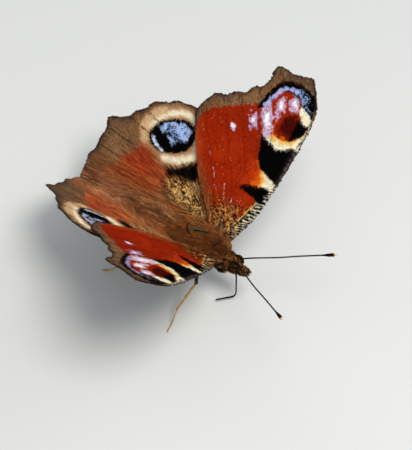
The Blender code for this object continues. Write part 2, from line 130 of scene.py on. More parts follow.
# Small tools
def tone(red, green, blue):
    seen = np.array([red, green, blue]) / 255.0
    return np.where(seen <= 0.04045, seen / 12.92, ((seen + 0.055) / 1.055) ** 2.4)


def curveThrough(points, step, closed=False):
    pts = np.array(points, float)
    if closed:
        padded = np.vstack([pts[-1:], pts, pts[:2]])
    else:
        padded = np.vstack([2 * pts[0] - pts[1], pts, 2 * pts[-1] - pts[-2]])
    runs = []
    for i in range(1, len(padded) - 2):
        a, b, c, d = padded[i - 1:i + 3]
        count = max(1, int(round(np.linalg.norm(c - b) / step)))
        t = (np.arange(count) / count)[:, None]
        runs.append(0.5 * (2 * b + (c - a) * t + (2 * a - 5 * b + 4 * c - d) * t * t
                           + (3 * b - a - 3 * c + d) * t ** 3))
    if not closed:
        runs.append(padded[-2:-1])
    return np.vstack(runs)


def noise(points, size, seed):
    table = np.random.default_rng(seed).random((noiseCells, noiseCells)) * 2 - 1
    grid = points / np.array(size, float) + 300.0
    cell = np.floor(grid).astype(int)
    part = grid - cell
    u, v = (part * part * (3 - 2 * part)).T
    i, j = cell.T % noiseCells
    i2, j2 = (i + 1) % noiseCells, (j + 1) % noiseCells
    low = table[i, j] * (1 - u) + table[i2, j] * u
    high = table[i, j2] * (1 - u) + table[i2, j2] * u
    return low * (1 - v) + high * v


def lineDistance(points, line):
    best = np.full(len(points), 1e9)
    line = np.array(line, float)
    for a, b in zip(line, line[1:]):
        way = b - a
        t = np.clip(((points - a) @ way) / (way @ way), 0, 1)
        best = np.minimum(best, np.linalg.norm(points - a - t[:, None] * way, axis=1))
    return best


def depthInside(points, loop):
    loop = np.array(loop, float)
    best = lineDistance(points, np.vstack([loop, loop[:1]]))
    odd = np.zeros(len(points), bool)
    for a, b in zip(loop, np.roll(loop, -1, 0)):
        rise = b[1] - a[1]
        if rise == 0:
            continue
        crosses = (a[1] > points[:, 1]) != (b[1] > points[:, 1])
        at = a[0] + (points[:, 1] - a[1]) / rise * (b[0] - a[0])
        odd ^= crosses & (points[:, 0] < at)
    return np.where(odd, best, -best)


def ramp(value, low, high):
    t = np.clip((value - low) / (high - low), 0, 1)
    return t * t * (3 - 2 * t)


def unit(ways):
    return ways / np.linalg.norm(ways, axis=1)[:, None]


def flattened(ways, up):
    return ways - up * np.einsum("ij,ij->i", ways, up)[:, None]


def varied(rng, count):
    return 0.7 + 0.6 * rng.random(count)


def meshFrom(name, points, faces):
    mesh = bpy.data.meshes.new(name)
    corners = faces.shape[1]
    mesh.vertices.add(len(points))
    mesh.vertices.foreach_set("co", np.ascontiguousarray(toRow(points), np.float32).ravel())
    mesh.loops.add(faces.size)
    mesh.loops.foreach_set("vertex_index", faces.astype(np.int32).ravel())
    mesh.polygons.add(len(faces))
    mesh.polygons.foreach_set("loop_start", np.arange(0, faces.size, corners, dtype=np.int32))
    mesh.polygons.foreach_set("loop_total", np.full(len(faces), corners, np.int32))
    mesh.update(calc_edges=True)
    return mesh


def setTint(mesh, name, colours):
    layer = mesh.color_attributes.new(name, "FLOAT_COLOR", "POINT")
    full = np.ones((len(colours), 4), np.float32)
    full[:, :3] = np.clip(colours, 0, 1)
    layer.data.foreach_set("color", full.ravel())


def addPiece(name, mesh, material, nodes=(), smooth=True):
    piece = bpy.data.objects.new(name, mesh)
    bpy.context.scene.collection.objects.link(piece)
    mesh.materials.clear()
    mesh.materials.append(material)
    mesh.polygons.foreach_set("use_smooth", [smooth] * len(mesh.polygons))
    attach(piece, "root")
    if nodes:
        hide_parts(*nodes)
    return piece


def meshPoints(mesh):
    points = np.empty(len(mesh.vertices) * 3, np.float32)
    mesh.vertices.foreach_get("co", points)
    return points.reshape(-1, 3).astype(float)


# Finishes
def newMaterial(name, colour, rough, spec):
    made = bpy.data.materials.new(name)
    made.use_nodes = True
    shader = made.node_tree.nodes["Principled BSDF"]
    shader.inputs["Base Color"].default_value = (*colour, 1.0)
    shader.inputs["Roughness"].default_value = rough
    shader.inputs["Specular IOR Level"].default_value = spec
    return made, made.node_tree, shader


def addNode(tree, kind, values):
    made = tree.nodes.new("ShaderNode" + kind)
    for name, value in values.items():
        made.inputs[name].default_value = value
    return made


def addPattern(tree, kind, values):
    made = addNode(tree, kind, values)
    place = tree.nodes.new("ShaderNodeTexCoord")
    tree.links.new(place.outputs["Object"], made.inputs["Vector"])
    return made


def addBump(tree, shader, height, strength, invert=False):
    raised = addNode(tree, "Bump", {"Strength": strength, "Distance": 0.02 * mm})
    raised.invert = invert
    tree.links.new(height, raised.inputs["Height"])
    tree.links.new(raised.outputs["Normal"], shader.inputs["Normal"])


def tintedMaterial(name, layer, rough, spec, grain, grainSize, bump=0.0):
    made, tree, shader = newMaterial(name, (0.5, 0.5, 0.5), rough, spec)
    tint = tree.nodes.new("ShaderNodeVertexColor")
    tint.layer_name = layer
    mottle = addPattern(tree, "TexNoise", {"Scale": grainSize, "Detail": 2.0})
    spread = addNode(tree, "MapRange", {"To Min": 1.0 - grain, "To Max": 1.0 + grain})
    tree.links.new(mottle.outputs["Fac"], spread.inputs["Value"])
    shade = tree.nodes.new("ShaderNodeVectorMath")
    shade.operation = "SCALE"
    tree.links.new(tint.outputs["Color"], shade.inputs[0])
    tree.links.new(spread.outputs["Result"], shade.inputs["Scale"])
    tree.links.new(shade.outputs["Vector"], shader.inputs["Base Color"])
    if bump:
        addBump(tree, shader, mottle.outputs["Fac"], bump)
    return made


membraneUpper = tintedMaterial("wing membrane upper", "upper", 0.9, 0.02, 0.15, 6000.0, bump=0.4)
membraneUnder = tintedMaterial("wing membrane under", "under", 0.8, 0.1, 0.15, 6000.0, bump=0.4)
scaleFinish = tintedMaterial("wing scales", "tint", 0.85, 0.025, 0.1, 9000.0)
underScaleFinish = tintedMaterial("wing scales under", "tint", 0.7, 0.15, 0.12, 9000.0)
hairFinish = tintedMaterial("body hair", "tint", 0.62, 0.1, 0.12, 7000.0)
skinFinish = tintedMaterial("body skin", "tint", 0.8, 0.1, 0.25, 3000.0, bump=0.6)
hornFinish = tintedMaterial("leg horn", "tint", 0.45, 0.3, 0.18, 8000.0, bump=0.35)
feelerFinish = tintedMaterial("antenna horn", "tint", 0.75, 0.03, 0.18, 8000.0, bump=0.35)


# Wings: plan and place
forewing = {
    "hinge": (2.4, -1.3, 0.95),
    "dihedral": {"left": 38.5, "right": 38.5},
    "arch": 0.15,
    "archSpan": 27.0,
    "flowFrom": (-3.0, -1.6),     # scales point away from here
    "runs": [
        [(-1.0, -3.0), (2.3, -4.1), (4.6, -4.75), (7.5, -5.05), (10.8, -5.35), (16.6, -5.6), (20.6, -5.45),
         (22.8, -5.1), (24.3, -4.3), (25.5, -3.4), (26.7, -2.5), (27.1, -2.1)],
        [(27.1, -2.1), (27.0, -1.4), (26.6, 0.0), (26.3, 1.1), (26.45, 2.2), (26.4, 3.4), (26.1, 3.85)],
        [(26.1, 3.85), (24.9, 3.8), (24.2, 3.65), (22.9, 4.1), (22.3, 4.4), (22.1, 5.0), (21.4, 5.7),
         (20.6, 5.9), (20.2, 6.5), (19.9, 7.4), (19.3, 8.1), (18.7, 8.5), (18.3, 9.6), (18.0, 10.35),
         (16.8, 10.95), (15.6, 11.35), (14.5, 11.6), (13.2, 11.1)],
        [(13.2, 11.1), (10.0, 9.3), (6.5, 6.8), (4.6, 5.2), (2.2, 2.8), (-0.3, 0.9)],
        [(-0.3, 0.9), (-1.0, -3.0)],
    ],
    "veins": [
        [(0.4, -2.2), (5.0, -3.3), (10.0, -4.3), (14.2, -4.9)],
        [(0.2, -1.4), (5.0, -2.4), (9.5, -3.3), (12.6, -3.5), (17.5, -3.9), (21.5, -3.2),
         (24.2, -2.4), (26.4, -1.6)],
        [(9.5, -3.3), (14.0, -4.5), (17.6, -5.0)],
        [(21.5, -3.2), (23.6, -1.5), (25.9, 0.2)],
        [(12.6, -3.5), (17.3, -2.3), (22.2, -0.3), (25.9, 2.8)],
        [(12.6, -3.5), (12.5, -2.4), (16.0, -1.0), (19.9, 0.8), (23.6, 3.4)],
        [(12.5, -2.4), (11.6, -0.9), (15.0, 0.9), (18.4, 2.4), (21.9, 4.4)],
        [(0.2, -0.5), (3.5, -0.3), (6.8, 0.3), (9.6, 0.0), (11.6, -0.9)],
        [(9.6, 0.0), (13.0, 2.2), (16.3, 4.2), (20.0, 6.6)],
        [(5.0, 0.0), (7.6, 1.3), (10.7, 3.4), (14.4, 6.0), (18.1, 8.8)],
        [(0.3, 0.3), (3.0, 1.7), (5.8, 3.4), (9.8, 6.5), (13.4, 9.2), (15.9, 10.6)],
    ],
}
hindwing = {
    "hinge": (2.4, 1.5, -0.25),
    "dihedral": {"left": 36.6, "right": 35.2},
    "arch": 0.15,
    "archSpan": 27.0,
    "flowFrom": (1.5, -1.5),
    "runs": [
        [(-0.9, -1.3), (2.6, -1.1), (6.0, 0.5), (10.0, 2.6), (13.4, 5.4), (14.9, 7.9), (15.25, 9.6),
         (15.05, 11.2), (14.6, 12.9), (13.9, 13.8), (13.2, 15.3), (12.7, 16.0), (11.5, 16.5),
         (10.8, 17.2), (10.1, 17.8), (9.2, 18.15), (8.4, 19.2), (7.9, 20.3), (7.4, 21.2)],
        [(7.4, 21.2), (6.8, 21.05), (6.1, 20.6), (5.3, 20.5), (4.4, 20.7), (3.1, 20.55), (1.9, 20.6),
         (1.1, 21.0), (0.4, 20.95), (-0.4, 20.6), (-1.5, 20.65), (-2.8, 20.4)],
        [(-2.8, 20.4), (-2.85, 17.0), (-2.85, 14.4), (-2.55, 13.0), (-2.1, 11.6), (-1.8, 9.0), (-1.55, 6.5),
         (-0.9, 3.8), (-0.8, 2.4)],
        [(-0.8, 2.4), (-0.9, -1.3)],
    ],
    "veins": [
        [(0.4, -0.5), (5.5, 1.1), (10.2, 3.7), (13.8, 7.0), (14.7, 8.8)],
        [(0.5, 0.1), (3.5, 1.4), (7.2, 4.1), (11.0, 6.9), (14.6, 11.2)],
        [(7.2, 4.1), (10.2, 7.6), (12.6, 11.6), (13.5, 13.6)],
        [(7.2, 4.1), (7.6, 5.6), (9.3, 9.4), (10.7, 14.0), (11.4, 16.4)],
        [(5.9, 6.3), (7.2, 9.6), (8.4, 14.3), (9.0, 17.9)],
        [(0.5, 0.6), (2.8, 4.0), (4.4, 5.9), (5.9, 6.3), (7.6, 5.6)],
        [(4.4, 5.9), (4.9, 9.6), (5.6, 15.1), (6.0, 19.9)],
        [(2.8, 4.0), (2.95, 10.0), (3.0, 16.0), (3.1, 20.0)],
        [(0.5, 1.8), (0.55, 7.5), (0.2, 14.5), (-0.1, 20.2)],
    ],
    # Where the inner strip starts to turn down beside the abdomen, as (back, out)
    "fold": [(-1.3, 1.0), (1.5, 0.85), (7.5, 0.6), (9.5, 0.1), (11.5, -0.85), (13.0, -2.0),
             (14.5, -2.7), (22.0, -2.9)],
    "foldRadius": 0.9,
    "foldSteepest": [(8.5, 84.0), (11.5, 62.0), (13.5, 50.0)],
}
membrane = {"pitch": 0.36, "marginStep": 0.3, "half": 0.06, "veinHalf": 0.14, "veinWidth": 0.15}


def wingOutline(wing):
    if "outline" not in wing:
        runs = [curveThrough(run, membrane["marginStep"])[:-1] for run in wing["runs"]]
        wing["outline"] = np.vstack(runs)
        wing["veinLines"] = [curveThrough(vein, 0.6) for vein in wing["veins"]]
    return wing["outline"]


def veinDistance(wing, flat):
    wingOutline(wing)
    return np.min([lineDistance(flat, line) for line in wing["veinLines"]], axis=0)


def halfThickness(wing, flat):
    crest = np.exp(-(veinDistance(wing, flat) / membrane["veinWidth"]) ** 2)
    return membrane["half"] + (membrane["veinHalf"] - membrane["half"]) * crest


def wingPlace(wing, side, flat):
    lean = math.radians(wing["dihedral"][side])
    hinge = wing["hinge"]
    out, back = flat[:, 0], flat[:, 1]
    reach, xFold, zFold = out, 0.0, 0.0
    if "fold" in wing:
        fold = np.array(wing["fold"])
        radius = wing["foldRadius"]
        start = np.interp(back, fold[:, 0], fold[:, 1])
        strip = np.maximum(start - out, 0)
        steepest = np.interp(back, *np.array(wing["foldSteepest"]).T)
        turn = np.minimum(strip / radius, np.radians(steepest) - lean)
        rest = strip - turn * radius
        steep = lean + turn
        xFold = -radius * (np.sin(steep) - math.sin(lean)) - rest * np.cos(steep)
        zFold = -radius * (math.cos(lean) - np.cos(steep)) - rest * np.sin(steep)
        reach = np.maximum(out, start)
    rise = wing["arch"] * np.sin(math.pi * np.clip(reach, 0, wing["archSpan"]) / wing["archSpan"])
    x = hinge[0] + reach * math.cos(lean) - rise * math.sin(lean) + xFold
    z = hinge[2] + reach * math.sin(lean) + rise * math.cos(lean) + zFold
    return np.column_stack([x * sides[side], hinge[1] + back, z])


def wingFrame(wing, side, flat, angle):
    outward = unit(wingPlace(wing, side, flat + [0.04, 0]) - wingPlace(wing, side, flat - [0.04, 0]))
    backward = unit(wingPlace(wing, side, flat + [0, 0.04]) - wingPlace(wing, side, flat - [0, 0.04]))
    up = unit(np.cross(outward, backward) * sides[side])
    along = unit(outward * np.cos(angle)[:, None] + backward * np.sin(angle)[:, None])
    return wingPlace(wing, side, flat), along, up


def flowAngle(wing, flat):
    return np.arctan2(flat[:, 1] - wing["flowFrom"][1], flat[:, 0] - wing["flowFrom"][0])


def seedOf(base, wing, side):
    return base + 10 * int(side == "right") + 5 * int(wing is hindwing)


def wingPlan(wing):
    bm = bmesh.new()
    outline = wingOutline(wing)
    bm.faces.new([bm.verts.new((s, c, 0.0)) for s, c in outline])
    for axis in (0, 1):
        cut = outline[:, axis].min() + membrane["pitch"]
        normal = (1, 0, 0) if axis == 0 else (0, 1, 0)
        while cut < outline[:, axis].max():
            spot = (cut, 0, 0) if axis == 0 else (0, cut, 0)
            bmesh.ops.bisect_plane(bm, geom=bm.verts[:] + bm.edges[:] + bm.faces[:],
                                   plane_co=spot, plane_no=normal, dist=1e-4)
            cut += membrane["pitch"]
    bmesh.ops.remove_doubles(bm, verts=bm.verts[:], dist=0.03)
    bmesh.ops.triangulate(bm, faces=bm.faces[:])
    bmesh.ops.recalc_face_normals(bm, faces=bm.faces[:])
    plan = bpy.data.meshes.new("plan")
    bm.to_mesh(plan)
    bm.free()
    return plan


# Wing markings, on a plane of (out along the wing, back from the hinge)
inks = {
    "red": tone(158, 38, 6),
    "redBright": tone(182, 51, 12),
    "redDark": tone(122, 25, 4),
    "orange": tone(222, 98, 20),
    "yellow": tone(240, 192, 92),
    "cream": tone(240, 231, 202),
    "creamWarm": tone(222, 196, 160),
    "black": tone(4, 3, 3),
    "brownBlack": tone(38, 28, 20),
    "maroon": tone(70, 10, 4),
    "lilac": tone(196, 166, 204),
    "white": tone(246, 246, 250),
    "blue": tone(150, 178, 226),
    "tan": tone(116, 81, 53),
    "tanPale": tone(142, 102, 68),
    "tanGrey": tone(84, 67, 55),
    "edge": tone(44, 36, 40),
    "gold": tone(206, 164, 96),
    "brown": tone(110, 64, 32),
    "brownDark": tone(62, 37, 19),
    "rust": tone(146, 78, 38),
    "field": tone(152, 54, 25),
    "ringTan": tone(172, 130, 92),
    "greyFur": tone(134, 98, 74),
}

forewingMarks = {
    "wedge": [(6.8, -4.3), (9.15, -4.5), (8.9, -3.1), (8.6, -2.0), (8.3, -1.1), (7.9, -0.45), (7.55, -0.2),
        (7.3, -0.5), (7.15, -1.3), (7.0, -2.6)],
    "costaPatch": [(9.2, -4.7), (10.6, -4.9), (10.75, -3.7), (11.0, -3.0), (11.2, -2.2), (11.8, -1.3),
        (12.5, -0.5), (12.4, 0.2), (10.5, 1.0), (8.4, 0.6), (8.1, -0.4), (8.6, -2.0), (8.9, -3.0)],
    "quad": [(10.6, -6.0), (10.6, -4.6), (10.8, -3.6), (11.0, -2.9), (11.15, -2.1), (11.8, -1.3),
        (12.5, -0.55), (13.0, -0.3), (14.0, -0.05), (15.0, 0.35), (16.0, 0.78), (16.9, 1.42), (16.4, 0.55),
        (16.0, 0.15), (15.7, -0.4), (15.6, -1.1), (15.45, -1.7), (15.12, -2.15), (15.2, -2.5),
        (15.45, -3.2), (16.05, -3.95), (16.5, -4.8), (16.7, -6.0)],
    "creamBand": [(16.6, -6.0), (19.7, -5.7), (19.4, -5.2), (18.7, -4.9), (18.0, -4.5), (17.3, -4.0),
        (16.95, -3.4), (16.75, -2.6), (16.75, -1.7), (16.7, -0.9), (16.4, -0.3), (16.0, 0.15), (15.7, -0.5),
        (15.6, -1.2), (15.4, -1.8), (15.1, -2.15), (15.2, -2.55), (15.5, -3.25), (16.05, -3.95),
        (16.5, -4.8)],
    "disc": [(16.9, -2.6), (17.2, -3.6), (18.0, -4.2), (19.2, -4.4), (20.4, -4.0), (21.1, -3.25),
        (21.65, -2.7), (21.5, -2.1), (21.2, -1.4), (20.9, -0.9), (20.2, -0.3), (19.1, 0.0), (18.4, -0.15),
        (17.6, -0.35), (16.95, -0.5), (16.8, -1.3), (16.95, -2.0)],
    "discTop": [(18.2, -4.1), (18.5, -4.75), (19.2, -5.0), (19.8, -5.15), (20.25, -4.95), (20.35, -4.2),
        (20.9, -3.5), (20.0, -3.5), (19.2, -3.4), (18.5, -3.5)],
    "spike": [(19.0, -4.8), (19.7, -5.15), (20.2, -5.25), (20.5, -5.1), (20.35, -4.6), (20.4, -4.0),
        (19.6, -4.0)],
    "eyeGround": [(16.7, -0.9), (16.6, -2.2), (17.0, -3.6), (18.2, -4.3), (20.4, -4.1), (21.5, -3.1),
        (22.9, -2.6), (23.6, -1.8), (24.0, -0.9), (23.7, 0.4), (23.2, 1.2), (22.0, 1.9), (20.8, 2.4),
        (19.8, 2.7), (18.0, 2.0), (16.2, 0.6)],
    "creamOuter": [(20.3, -4.85), (20.7, -5.0), (21.6, -4.95), (22.15, -4.45), (22.35, -3.8), (22.6, -3.2),
        (22.9, -2.45), (22.2, -2.65), (21.6, -2.95), (20.9, -3.5), (20.4, -4.1)],
    "ring": [(21.7, -5.0), (22.4, -4.85), (23.4, -4.55), (24.4, -3.9), (24.9, -3.0), (25.25, -2.0),
        (25.35, -1.0), (25.25, 0.2), (24.95, 1.0), (24.5, 1.7), (23.9, 2.2), (22.9, 2.6), (21.9, 2.9),
        (21.0, 3.1), (20.0, 3.4), (19.6, 3.1), (20.4, 2.6), (21.3, 2.1), (22.3, 1.75), (23.2, 1.3),
        (23.7, 0.6), (23.9, -0.2), (23.8, -1.0), (23.4, -1.9), (22.9, -2.7), (22.5, -3.4), (22.3, -4.2)],
    "powder": [(22.3, -4.3), (23.2, -4.1), (24.0, -3.1), (24.7, -2.2), (24.9, -1.3), (24.3, -1.0),
        (23.6, -1.6), (22.9, -2.5), (22.4, -3.3)],
    "lilacOne": [(15.9, -0.35), (17.0, -0.35), (18.2, 0.0), (19.2, 0.4), (20.1, 1.1), (20.8, 1.8),
        (20.9, 2.3), (20.0, 2.6), (19.0, 2.4), (18.0, 1.8), (16.9, 1.0), (16.0, 0.45)],
    "lilacTwo": [(19.1, -0.15), (20.2, -0.35), (21.0, -0.75), (21.9, -0.35), (22.9, 0.35), (22.9, 0.85),
        (22.0, 1.1), (21.0, 1.05), (20.1, 0.65)],
    "lilacThree": [(21.2, -1.3), (21.6, -2.2), (22.2, -2.6), (23.0, -2.4), (23.7, -1.6), (23.6, -0.9),
        (22.9, -0.5), (22.2, -0.75), (21.5, -1.05)],
    "border": [(12.8, 11.4), (13.3, 10.65), (14.2, 10.55), (15.1, 10.35), (16.0, 9.7), (16.4, 9.0),
        (17.0, 8.0), (17.5, 7.15), (18.1, 6.2), (18.7, 5.3), (19.6, 4.5), (20.1, 3.3), (21.1, 3.05),
        (22.9, 2.55), (23.9, 2.15), (24.5, 1.65), (24.95, 0.95), (25.25, 0.1), (25.35, -1.0),
        (25.25, -2.05), (24.9, -3.0), (24.4, -3.95), (23.4, -4.6), (22.3, -4.95), (21.2, -5.1),
        (20.4, -5.2), (19.2, -5.25), (18.6, -5.45), (18.4, -6.5), (30.0, -6.5), (30.0, 8.0), (18.0, 14.0),
        (12.0, 13.0)],
}
forewingLines = {
    "blue": [(24.35, -0.75), (24.3, 0.0), (23.95, 0.9), (23.3, 1.45), (22.4, 1.8), (21.2, 2.2),
        (20.2, 2.5)],
    "rim": [(19.6, 3.3), (21.0, 3.1), (22.9, 2.6), (23.9, 2.2), (24.5, 1.7), (24.95, 1.0), (25.25, 0.2),
        (25.35, -1.0), (25.25, -2.0), (24.9, -3.0), (24.4, -3.9), (23.4, -4.55)],
    "redArc": [(21.2, 1.65), (22.2, 1.2), (23.1, 0.75), (23.5, 0.0), (23.4, -0.75)],
    "red": [[(19.0, -0.05), (20.2, 1.1), (21.6, 2.1)], [(21.1, -1.05), (22.9, 0.1), (23.4, 0.5)],
        [(22.2, -2.6), (23.7, -1.8)]],
    "worn": [[(4.1, -0.4), (5.4, 0.0)], [(4.4, 0.9), (5.2, 1.35), (6.6, 2.0)], [(5.35, 2.95), (6.6, 3.8),
        (8.0, 4.9)], [(9.5, 6.2), (9.9, 6.7)], [(10.3, 6.9), (10.7, 7.5)], [(10.2, 2.9), (10.7, 3.5)],
        [(12.2, 9.0), (13.7, 10.3)], [(14.3, 6.6), (15.3, 8.0)], [(16.1, 7.2), (16.7, 8.1)]],
}
hindwingMarks = {
    "gold": [(0.9, 0.2), (2.0, 0.4), (3.2, 1.2), (4.8, 2.2), (5.2, 3.6), (5.1, 4.8), (4.6, 5.8), (4.0, 7.0),
        (3.2, 7.6), (1.9, 7.4), (1.4, 5.4), (0.9, 3.0), (0.6, 1.4)],
    "smudge": [(5.0, 5.2), (5.2, 4.3), (5.6, 3.7), (6.4, 3.9), (7.4, 4.6), (8.0, 5.0), (7.2, 5.9),
        (6.5, 6.6), (5.8, 7.1), (5.3, 7.9), (4.7, 8.6), (4.2, 8.2), (4.3, 7.3), (4.9, 6.3)],
    "ring": [(7.4, 5.1), (8.6, 4.6), (10.0, 5.6), (12.0, 7.0), (14.4, 8.8), (15.0, 10.5), (14.6, 12.8),
        (13.4, 14.6), (11.8, 15.6), (9.7, 16.0), (8.2, 15.4), (7.0, 14.4), (6.2, 12.6), (5.4, 10.8),
        (5.2, 9.2), (5.4, 8.0), (6.4, 6.4)],
    "oval": [(9.2, 7.25), (10.7, 7.0), (12.0, 7.75), (12.9, 8.9), (12.95, 9.8), (12.5, 10.9), (11.6, 12.5),
        (10.45, 13.6), (8.95, 14.1), (8.0, 13.9), (7.1, 13.0), (6.75, 11.7), (6.95, 10.3), (7.55, 8.9),
        (8.4, 7.9)],
    "blue": [(9.8, 8.2), (11.5, 8.1), (12.15, 8.9), (12.4, 9.8), (12.1, 10.6), (11.8, 11.4), (11.4, 11.9),
        (11.05, 11.4), (11.1, 10.8), (10.7, 10.5), (10.4, 9.7), (9.75, 9.4), (9.9, 8.9)],
    "blueLow": [(9.5, 12.0), (10.7, 11.95), (11.3, 12.2), (10.7, 12.8), (10.0, 13.2), (9.6, 12.6)],
    "blueDot": [(8.7, 10.25), (9.1, 10.3), (9.4, 10.8), (9.2, 11.1), (8.8, 10.8)],
    "blueSpeck": [(8.6, 10.0), (9.3, 9.2), (10.4, 9.0), (11.2, 10.6), (11.1, 11.9), (10.0, 11.9),
        (9.4, 10.9), (8.9, 10.6)],
    "field": [(0.6, 8.4), (3.0, 7.2), (4.5, 8.4), (5.1, 10.1), (5.9, 11.7), (6.7, 13.4), (5.3, 14.7),
        (4.0, 15.4), (3.0, 16.2), (2.2, 16.7), (0.0, 16.6), (-2.6, 16.6), (-2.6, 13.5), (-0.4, 11.5)],
    "border": [(15.6, 9.5), (14.4, 13.0), (12.9, 15.0), (11.0, 15.9), (9.0, 16.2), (7.0, 14.6), (5.4, 14.9),
        (3.8, 16.0), (0.0, 16.8), (-4.0, 16.8), (-4.0, 23.0), (9.0, 23.0), (17.0, 16.0)],
}
hindwingLines = {
    "creamInner": [(6.15, 10.0), (6.35, 9.3), (6.75, 8.35), (7.3, 7.4), (8.1, 6.3), (8.9, 5.6),
        (10.0, 6.15), (11.2, 7.0)],
    "creamOuter": [(12.9, 8.2), (13.6, 9.2), (13.7, 10.6), (13.0, 12.1), (12.0, 13.3), (10.8, 14.1),
        (9.6, 14.6)],
    "tanLow": [(12.6, 13.9), (11.4, 14.9), (9.8, 15.4), (8.6, 15.3), (7.6, 14.4)],
    "bar": [(7.0, 10.85), (7.25, 11.7), (7.65, 12.5), (8.2, 13.4)],
    "diagonal": [(4.9, 9.6), (5.6, 11.0), (6.2, 12.2), (6.75, 13.5)],
    "paleRoot": [(1.8, -0.6), (3.4, 1.2), (4.4, 2.4), (5.2, 4.2)],
}


def smoothMarks():
    for marks in (forewingMarks, hindwingMarks):
        for name, loop in marks.items():
            if name != "border":
                marks[name] = curveThrough(loop, 0.35, closed=True)


smoothMarks()


def inkOf(ink):
    if isinstance(ink, str):
        return inks[ink]
    return tone(*ink) if isinstance(ink, tuple) else ink


def paint(colours, amount, ink, gain=1.0):
    colours += (inkOf(ink) * gain - colours) * np.clip(amount, 0, 1)[:, None]


def baseCoat(count, ink, gain=1.0):
    colours = np.tile(inkOf(ink) * gain, (count, 1))
    return colours, partial(paint, colours)


def blueWithPaintedSheen(side):
    # The blue is a sheen of the scales: on the right wings, seen aslant, it is painted paler, a painted
    # sheen
    return inks["blue"] if side == "left" else tone(176, 174, 208)


def glowAt(flat, centre, way, long, wide):
    offset = flat - np.array(centre)
    return 1.0 - np.hypot(offset @ np.array(way) / long, offset @ np.array([-way[1], way[0]]) / wide)


def brushes(flat, seed, marks, seeds, dotSize):
    # What the colours of both wings share: noises of several sizes and the broken edges of the marks
    rng = np.random.default_rng(seed)
    count = len(flat)
    flat = flat + rng.normal(0, 0.035, (count, 2))
    broad, fine = noise(flat, 1.7, seeds[0]), noise(flat, 0.45, seeds[1])
    grain = noise(flat, (0.105, 0.1), seeds[2]) + 0.4 * rng.normal(0, 1, count)
    dots = noise(flat, dotSize, seeds[3]) + 0.05 * rng.normal(0, 1, count)

    def deepIn(name):
        return depthInside(flat, marks[name])

    def within(name, soft=0.12, warp=0.12):
        rough = deepIn(name) + fine * warp + 0.7 * soft * rng.normal(0, 1, count)
        return ramp(rough, -0.4 * soft, 0.4 * soft)

    def near(line, wide, soft, warp=0.05):
        return ramp(wide - lineDistance(flat, line) + warp * fine, 0, soft)

    def speckle(chance):
        return (rng.random(count) < chance).astype(float)

    return rng, flat, broad, fine, grain, dots, deepIn, within, near, speckle


